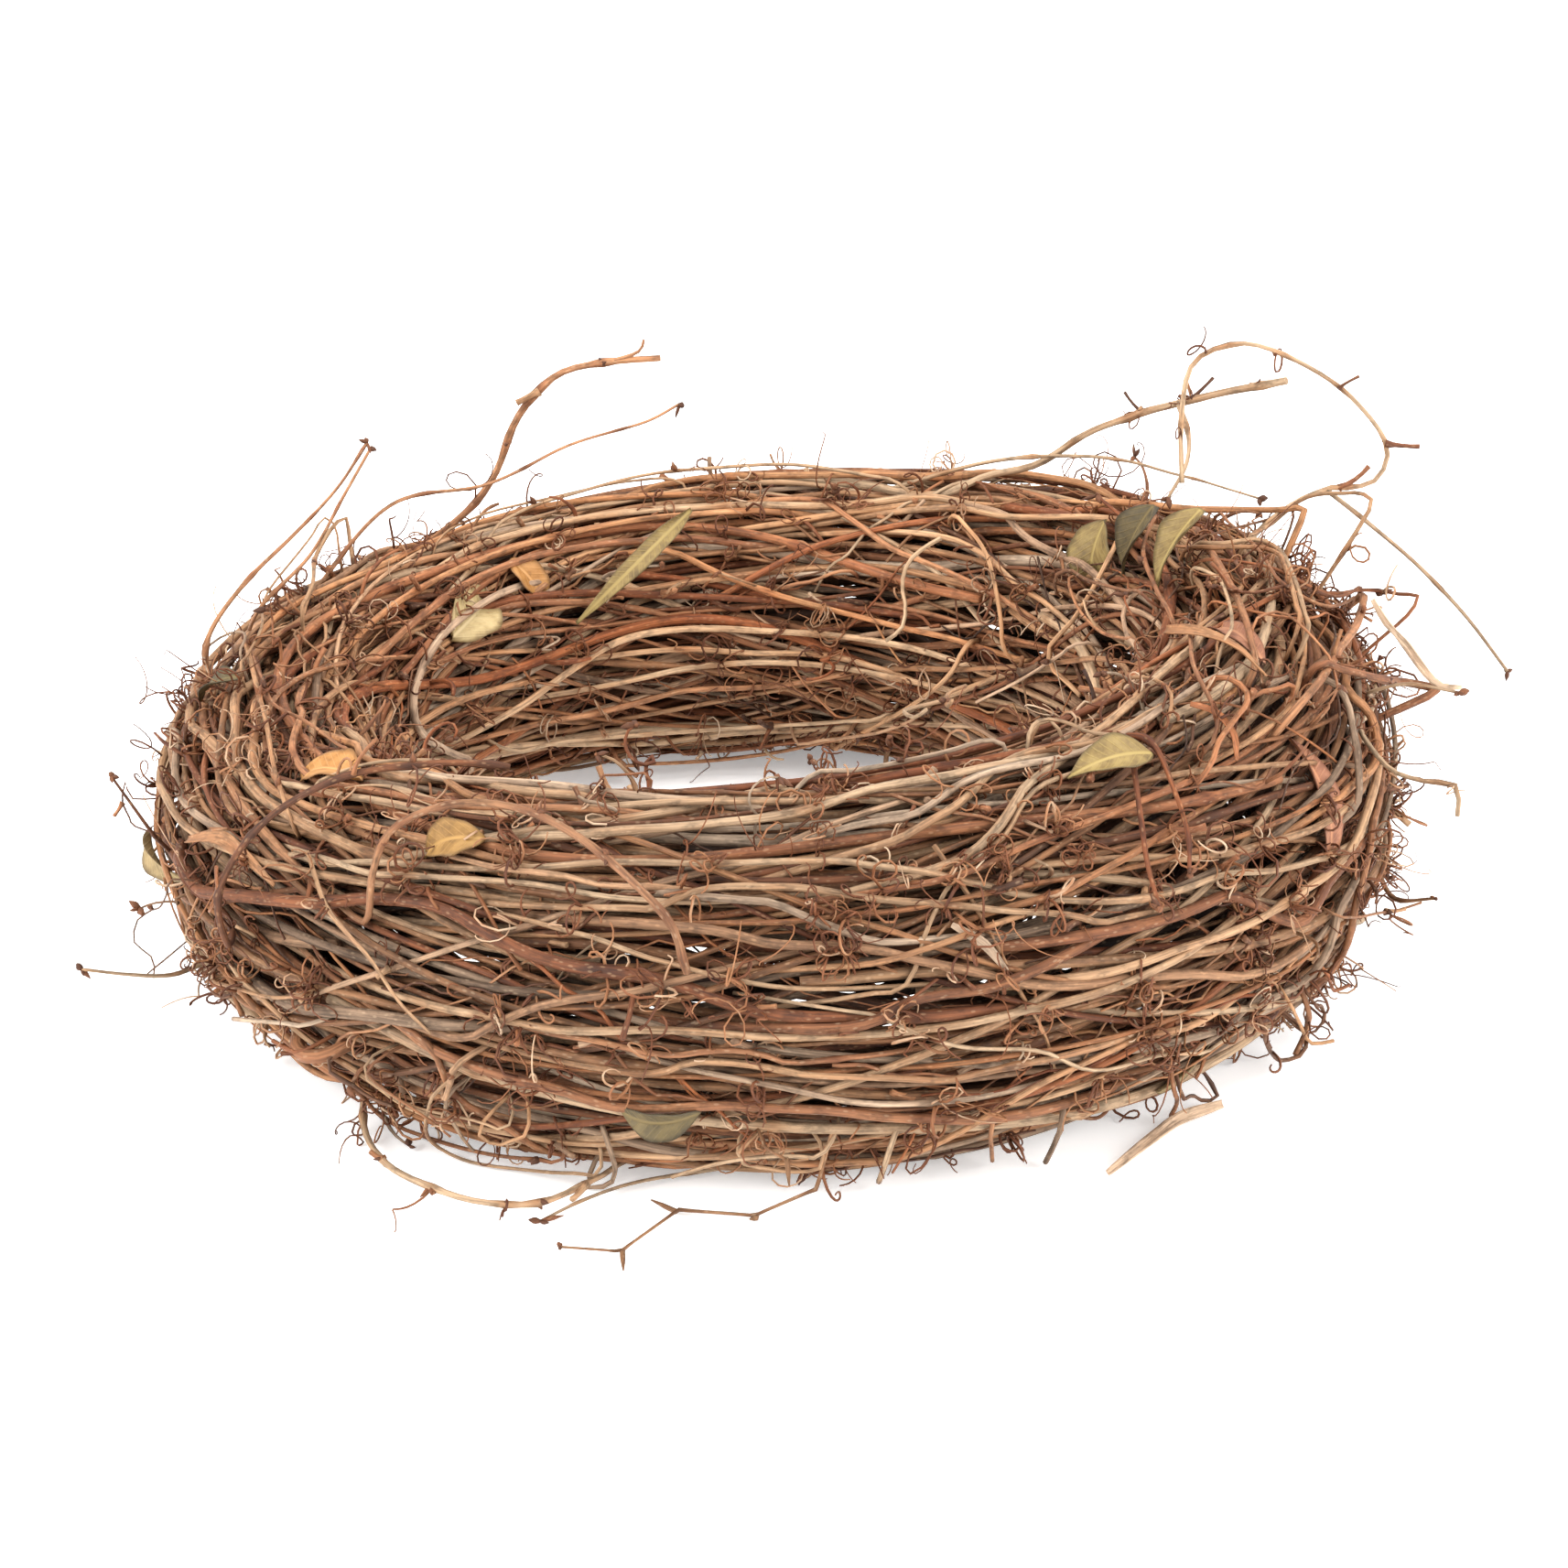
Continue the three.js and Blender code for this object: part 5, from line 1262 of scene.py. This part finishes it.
for waves, sway, dive in ((1.1, 0.10, 1.2), (2.9, 0.05, 0.8), (6.3, 0.025, 0.5),
                          (11.0, 0.012, 0.3)):
    wire_theta = wire_theta + wire_wave(waves, sway)
    wire_depth = wire_depth + wire_wave(waves, dive)
wires = ring_point(wire_phi, wire_theta, np.maximum(wire_depth, 0.1))
wires[..., 2] = np.maximum(wires[..., 2], 0.8)
for finish, some in (("dark", slice(0, 130)), ("brown", slice(130, 340)),
                     ("tan", slice(340, 520))):
    radii = np.linspace(1.0, 0.6, wire_places) * rng.uniform(0.25, 0.6, (wire_count, 1))
    many = some.stop - some.start
    # None: each corner gets painted shade from where it lies
    part = tube_part(wires[some], radii[some], 4, rng.uniform(0.1, 1.0, many), None,
                     np.maximum(0.0, rng.uniform(-0.5, 1.0, many)), rng.uniform(0, 3000, many))
    add_piece(f"wiry_twigs_{finish}", [part], barks[finish])

# Stubs of side shoots. Where a shoot or a leaf stalk broke off while the canes were wound, a
# short woody stub is left at the node, cut or torn at its end.
def stub_lines(roots, length):
    """Straight to slightly bent lines that leave the stem at a slant, mostly outwards."""
    count = len(roots)
    way = rng.choice([-1, 1], (count, 1))
    lead = unit(stem_out[roots] * rng.uniform(0.25, 0.9, (count, 1))
                + stem_aside[roots] * rng.normal(0, 0.5, (count, 1))
                + stem_along[roots] * way * rng.uniform(0.3, 1.1, (count, 1)))
    bend = np.cross(lead, rng.normal(0, 1, (count, 3))) * rng.normal(0, 0.25, (count, 1))
    run = np.linspace(0, 1, 5)[None, :, None]
    far = rng.uniform(*length, (count, 1, 1))
    lines = stem_points[roots][:, None] + (lead[:, None] * run + bend[:, None] * run**2) * far
    lines[..., 2] = np.maximum(lines[..., 2], 1.0)
    return lines


stub_radii = np.array([1.5, 1.0, 0.85, 0.8, 0.95]) * 0.8
for finish, count in (("brown", 170), ("tan", 90), ("dark", 70), ("grey", 40)):
    lines = stub_lines(rng.choice(shown, count), (2.5, 9.0))
    radii = stub_radii * rng.uniform(0.55, 1.25, (count, 1))
    part = tube_part(lines, radii, 6, rng.uniform(0.1, 1.0, count), 0.9, 0.3)
    add_piece(f"broken_side_shoots_{finish}", [part], barks[finish])

# Buds. At every other node of the free twigs, and at their tips, sit two or three dried buds:
# short, pointed and dark.
free = np.flatnonzero((share_of_node > free_share) & (stem_points[:, 2] > 3.0))
free = rng.choice(free, len(free) // 2, replace=False)
tips = [line[-1] for cane in cad_canes for line, shoot_radius in cane["growth"]
        if length_along(line)[-1] > 18.0]
roots = np.repeat(free, 2)
lines = stub_lines(roots, (1.2, 3.2))
lines += rng.normal(0, 0.2, (len(roots), 1, 3))
for tip in tips:
    fan = rng.normal(0, 1.0, (3, 1, 3)) * np.linspace(0, 1, 5)[None, :, None] ** 0.8 * 1.2
    lines = np.concatenate([lines, tip + fan])
lines[..., 2] = np.maximum(lines[..., 2], 1.2)
bud_radii = np.array([0.7, 1.25, 1.2, 0.7, 0.2]) * 0.55
radii = bud_radii * rng.uniform(0.6, 1.4, (len(lines), 1))
part = tube_part(lines, radii, 5, rng.uniform(0.2, 1.0, len(lines)), 1.0, 0.5)
add_piece("twig_buds", [part], barks["dark"])

# Torn strips. Flat strips of bark and split stalks hang between the canes. Read off the
# photograph: (width in pixels, finish, tone, red, millimetres outside the surface, pixels).
strips = [
    (16, "grey", 1.35, 0.1, 5, [1335, 1206, 1320, 1211, 1290, 1222, 1262, 1242, 1210, 1282]),
    (11, "grey", 1.55, 0.0, 9, [1500, 655, 1514, 678, 1535, 702, 1572, 748, 1597, 751]),
    (17, "tan", 0.55, 0.5, 3, [1274, 688, 1310, 692, 1350, 708, 1382, 738]),
    (13, "brown", 0.80, 0.7, 2, [1300, 770, 1325, 778, 1345, 800, 1350, 830]),
    (14, "tan", 0.90, 0.1, 1, [350, 865, 420, 860, 480, 880, 560, 890]),
    (16, "tan", 0.50, 0.4, 2, [205, 918, 240, 915, 270, 935, 300, 965]),
    (7, "tan", 0.60, 0.0, 3, [336, 930, 358, 991, 380, 1019, 405, 1047, 439, 1097, 471, 1129]),
    (10, "grey", 0.90, 0.0, 2, [1040, 1010, 1075, 1030, 1100, 1060]),
]
for number, (pixels_wide, finish, tone, red, outside, pixels) in enumerate(strips):
    line = smooth_line(read_off(pixels, -float(outside), 2.2), 2.5)
    length = length_along(line)
    # One that stands off the bundle shows its flat side, as in the photograph
    normal = unit(camera_place - line) if outside > 4 else ring_normal(*ring_place(line)[:2])
    along = unit(np.gradient(line, axis=0))
    aside = np.cross(normal, along)
    twist = np.sin(length / 17.0 + number)[:, None] * 0.6
    aside = unit(aside * np.cos(twist) + normal * np.sin(twist))
    up = np.cross(along, aside)
    share = length / length[-1]
    half = (0.5 * pixels_wide * millimetres_per_pixel
            * (0.25 + 0.75 * np.sin(np.pi * (0.12 + 0.8 * share))))[:, None, None]
    across = np.array([-1.0, -0.5, 0.0, 0.5, 1.0])[None, :, None]
    curl = 0.35 * half * across ** 2
    sheet = line[:, None] + aside[:, None] * half * across + up[:, None] * curl
    corners = np.concatenate([sheet + 0.15 * up[:, None], sheet[:, ::-1] - 0.15 * up[:, None]],
                             axis=1)
    corners[..., 2] = np.maximum(corners[..., 2], 0.3)
    count = len(line)
    grain = np.zeros(corners.shape)
    grain[..., 0] = (half * np.concatenate([across, across[:, ::-1]], axis=1))[..., 0]
    grain[..., 2] = length[:, None]
    ends = np.array([(0, 9, 8, 1), (1, 8, 7, 2), (2, 7, 6, 3), (3, 6, 5, 4)])
    quads = np.concatenate([quads_between(count, 10), ends, (count - 1) * 10 + ends[:, ::-1]])
    add_piece(f"torn_strip_{number + 1}",
              [(corners.reshape(-1, 3), quads, np.zeros((0, 3), dtype=int),
                grain.reshape(-1, 3), min(tone, 1.0), max(tone, 1.0), red)],
              barks[finish])

# Dry leaves caught between the canes. Each is thin as paper, folded along its midrib, curled
# at its edge and waved. turned is its direction against the way round the ring, in degrees,
# and lift raises its tip. The CAD part's leaf tells how far out it lies.
leaves = [
    ("leaf_pale_rear_left", 139, 137, 22, 13, 20, 12, 3, "straw_painted_light"),
    ("leaf_orange_rear_left", 127, 131, 15, 9, -60, 20, 2, "orange"),
    ("leaf_long_strap_rear", 111, 138, 44, 5.4, 215, 4, 5, "olive"),
    ("leaf_olive_right_1", 31, 124, 18, 15, 275, 35, 2, "olive"),
    ("leaf_olive_right_2", 21, 116, 20, 12, 262, 38, 2, "moss"),
    ("leaf_olive_right_3", 9, 110, 22, 11, 285, 30, 2, "olive"),
    ("leaf_folded_front_right", -55, 68, 20, 9, -10, 14, 3, "olive"),
    ("leaf_orange_front_left", -140, 76, 18, 12, 20, 8, 3, "orange"),
    ("leaf_cupped_front_left", -119, 58, 15, 9, 25, 10, 4, "umber"),
    ("leaf_pale_left", -167, -4, 18, 11, 150, 20, 3, "pale"),
    ("leaf_green_left_rim", -173, 66, 15, 7, 60, 12, 2, "moss"),
    ("leaf_olive_front_low", -98, -20, 18, 8, 5, 4, 4, "moss"),
    ("leaf_red_strap_top_right", -19, 92, 30, 6.5, 220, 6, 4, "red"),
    ("leaf_red_blade_right", -31, 28, 34, 8, 255, 4, 6, "red"),
    ("leaf_dry_strap_low_right", -46, -38, 30, 6.5, 205, 16, 2, "pale"),
    ("leaf_olive_rear_right", 75, 30, 22, 11, 160, 12, 3, "olive"),
    ("leaf_orange_rear", 165, 20, 20, 11, 30, 12, 3, "orange"),
]


def dried_leaf(name, base, vein, edge):
    """A dried leaf: papery and almost dull, mottled over some 4 mm, with a pale midrib, side
    veins 2 mm apart that slant forward, and a brown edge."""
    material, tree = new_material(name)
    grain = add_node(tree, "Attribute", attribute_name="grain").outputs["Vector"]
    along, aside, to_edge = add_node(tree, "SeparateXYZ", [(0, grain)]).outputs
    off_middle = add_node(tree, "Math", [(0, aside)], operation="ABSOLUTE")
    slanted = add_node(tree, "Math", [(0, off_middle), (1, along)], operation="ADD")
    wave = add_node(tree, "Math", [(0, slanted), (1, 0.001)], operation="PINGPONG")
    side_vein = add_node(tree, "MapRange", [("Value", wave)], From_Max=0.00028, To_Min=0.55,
                         To_Max=0.0)
    midrib = add_node(tree, "MapRange", [("Value", off_middle)],
                      From_Min=0.0002, From_Max=0.0006, To_Min=1.0, To_Max=0.0)
    veins = add_node(tree, "Math", [(0, side_vein), (1, midrib)], operation="MAXIMUM")
    mottle = add_node(tree, "TexNoise", [("Vector", grain)], Scale=260.0, Detail=4.0,
                      Roughness=0.6)
    body = add_node(tree, "ValToRGB", [("Fac", mottle)])
    colour_steps(body, [(0.22, edge), (0.45, base), (0.78, vein)])
    veined = add_node(tree, "Mix", [("Factor", veins), (6, body), (7, linear(vein))],
                      data_type="RGBA")
    rim = add_node(tree, "MapRange", [("Value", to_edge)], From_Min=0.00078, From_Max=0.001,
                   To_Max=0.7)
    edged = add_node(tree, "Mix", [("Factor", rim), (6, veined.outputs[2]), (7, linear(edge))],
                     data_type="RGBA")
    height = add_node(tree, "Math", [(0, veins), (1, mottle)], operation="ADD")
    return finished(material, edged.outputs[2], height, 0.6, 0.0003, Roughness=0.62)


leaf_finishes = {
    "olive": dried_leaf("dried_leaf_olive", "6f5a31", "917c48", "43351b"),
    "moss": dried_leaf("dried_leaf_moss", "463a1f", "63532f", "2b2214"),
    "pale": dried_leaf("dried_leaf_straw", "7e6a45", "a28c62", "4e3a20"),
    "orange": dried_leaf("dried_leaf_ochre", "96662f", "b48450", "553517"),
    # A lighter copy of the straw leaf: painted light on the rear-left leaf, which lies in the
    # canes' shade
    "straw_painted_light": dried_leaf("dried_leaf_straw_painted_light", "a18b5e", "bea87c", "6a5230"),
    "umber": dried_leaf("dried_leaf_umber", "7a5828", "a07a42", "4a3215"),
    "red": dried_leaf("dried_leaf_russet", "825238", "a57252", "55301f"),
}


def leaf_level(along, across, width, arch, wave_start):
    """Across and up for places on a leaf: half its width is a flattened sine of the way along,
    and it is arched, folded up from the midrib and waved towards its edges."""
    half = np.maximum(0.5 * width * np.sin(np.pi * along ** 0.8) ** 0.8, 0.55)
    wave = 0.09 * width * np.sin(5.2 * along + 2.4 * across + wave_start)
    level = -arch * (2 * along - 1) ** 2 + 0.3 * half * np.abs(across) + wave * np.abs(across)
    return -across * half, level


def leaf_axes(phi, theta, turned, lift):
    """The leaf's directions lengthwise, crosswise and upwards, and the bundle's outward one."""
    normal, tangent, side = surface_axes(phi, theta)
    flat = tangent * math.cos(turned) + side * math.sin(turned)
    lengthwise = flat * math.cos(lift) + normal * math.sin(lift)
    crosswise = np.cross(normal, flat)
    return lengthwise, crosswise, np.cross(lengthwise, crosswise), normal


def leaf_blade(length, width, arch, wave_start, rows, columns, curl):
    """A closed leaf 0.3 mm thick: two grids of corners, one above the other, and a rim of quads
    between them. Its edge is uneven, and curls up where curl is more than none."""
    along, across = np.meshgrid(np.linspace(0.0, 1.0, rows + 1),
                                np.linspace(-1.0, 1.0, columns + 1), indexing="ij")
    along = np.maximum(along, 1e-6)
    y, z = leaf_level(along, across, width, arch, wave_start)
    y = y * (1 + 0.05 * np.sin(along * 17 + wave_start + across) * np.abs(across) ** 3)
    z = z + curl * np.abs(across) ** 4 * np.sin(np.pi * along) * (0.6 + 0.4 * np.sin(9 * along))
    x = (1 - along) * length
    grain = np.stack([x, y, np.maximum(np.abs(across), np.abs(2 * along - 1) ** 6)], axis=-1)
    upper = np.stack([x, y, z + 0.5], axis=-1).reshape(-1, 3)
    lower = np.stack([x, y, z + 0.2], axis=-1).reshape(-1, 3)
    number = np.arange((rows + 1) * (columns + 1)).reshape(rows + 1, columns + 1)
    top = np.stack([number[:-1, :-1], number[1:, :-1], number[1:, 1:], number[:-1, 1:]],
                   axis=-1).reshape(-1, 4)
    rim = np.concatenate([number[0, :-1], number[:-1, -1], number[-1, :0:-1], number[:0:-1, 0]])
    after = np.roll(rim, -1)
    below = number.size
    wall = np.stack([rim, after, after + below, rim + below], axis=-1)
    quads = np.concatenate([top, top[:, ::-1] + below, wall])
    return (np.concatenate([upper, lower]), quads,
            np.tile(grain.reshape(-1, 3), (2, 1)))


leaf_rows, leaf_columns = 22, 10
no_triangles = np.zeros((0, 3), dtype=int)
for node, phi, theta, length, width, turned, lift, arch, finish in leaves:
    axes = leaf_axes(phi * degree, theta * degree, turned * degree, lift * degree)
    lengthwise, crosswise, upwards, normal = axes
    origin = ring_point(phi * degree, theta * degree, 0.0) - 0.5 * length * lengthwise
    # The CAD part's leaf before it was moved out to its seat: the node's box tells how far
    plain_along, plain_across = np.meshgrid(np.linspace(0, 1, 7), [-1.0, 0.0, 1.0])
    y, z = leaf_level(plain_along, plain_across, width, arch, phi)
    plain = (origin + ((1 - plain_along) * length)[..., None] * lengthwise
             + y[..., None] * crosswise + z[..., None] * upwards).reshape(-1, 3)
    plain = np.concatenate([plain, plain + 0.7 * upwards])
    low, high = (np.array(corner) * 1000 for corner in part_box(node))
    seated = ((low + high) / 2 - (plain.min(axis=0) + plain.max(axis=0)) / 2) @ normal
    blade, quads, grain = leaf_blade(length, width, arch, phi, leaf_rows, leaf_columns,
                                     0.06 * width)
    corners = (origin + seated * normal + blade[:, :1] * lengthwise + blade[:, 1:2] * crosswise
               + blade[:, 2:] * upwards)
    add_piece(f"{node}_blade", [(corners, quads, no_triangles, grain, 0.5, 1.0, 0.0)],
              leaf_finishes[finish], [node])

# The stage: a plain white floor that glows a little, as a light table does, and soft light from
# above and from both sides as under a photographer's tent.
floor_mesh = bpy.data.meshes.new("floor")
floor_mesh.from_pydata([(-6, -6, 0), (6, -6, 0), (6, 6, 0), (-6, 6, 0)], [], [(0, 1, 2, 3)])
floor_paint = bpy.data.materials.new("matt_white_floor")
floor_paint.use_nodes = True
floor_shader = floor_paint.node_tree.nodes["Principled BSDF"]
for key, value in (("Base Color", linear("fafaf9")), ("Roughness", 0.9),
                   ("Emission Color", linear("ffffff")), ("Emission Strength", 0.30)):
    floor_shader.inputs[key].default_value = value
floor_mesh.materials.append(floor_paint)
floor = bpy.data.objects.new("floor", floor_mesh)
bpy.context.collection.objects.link(floor)

world = bpy.data.worlds.new("tent")
world.use_nodes = True
world.node_tree.nodes["Background"].inputs["Color"].default_value = linear("ffffff")
world.node_tree.nodes["Background"].inputs["Strength"].default_value = 1.2
bpy.context.scene.world = world
for name, place, size, power in (("light_above", (-0.05, 0.0, 1.3), 1.5, 21.0),
                                 ("light_left", (-1.1, -0.75, 0.6), 0.8, 21.0),
                                 ("light_right", (1.1, -0.75, 0.6), 0.8, 21.0)):
    lamp_data = bpy.data.lights.new(name, "AREA")
    lamp_data.size = size
    lamp_data.energy = power
    lamp = bpy.data.objects.new(name, lamp_data)
    lamp.location = place
    lamp.rotation_euler = (-Vector(place)).to_track_quat("-Z", "Y").to_euler()
    bpy.context.collection.objects.link(lamp)
bpy.context.scene.view_settings.view_transform = "Standard"

bpy.context.view_layer.update()
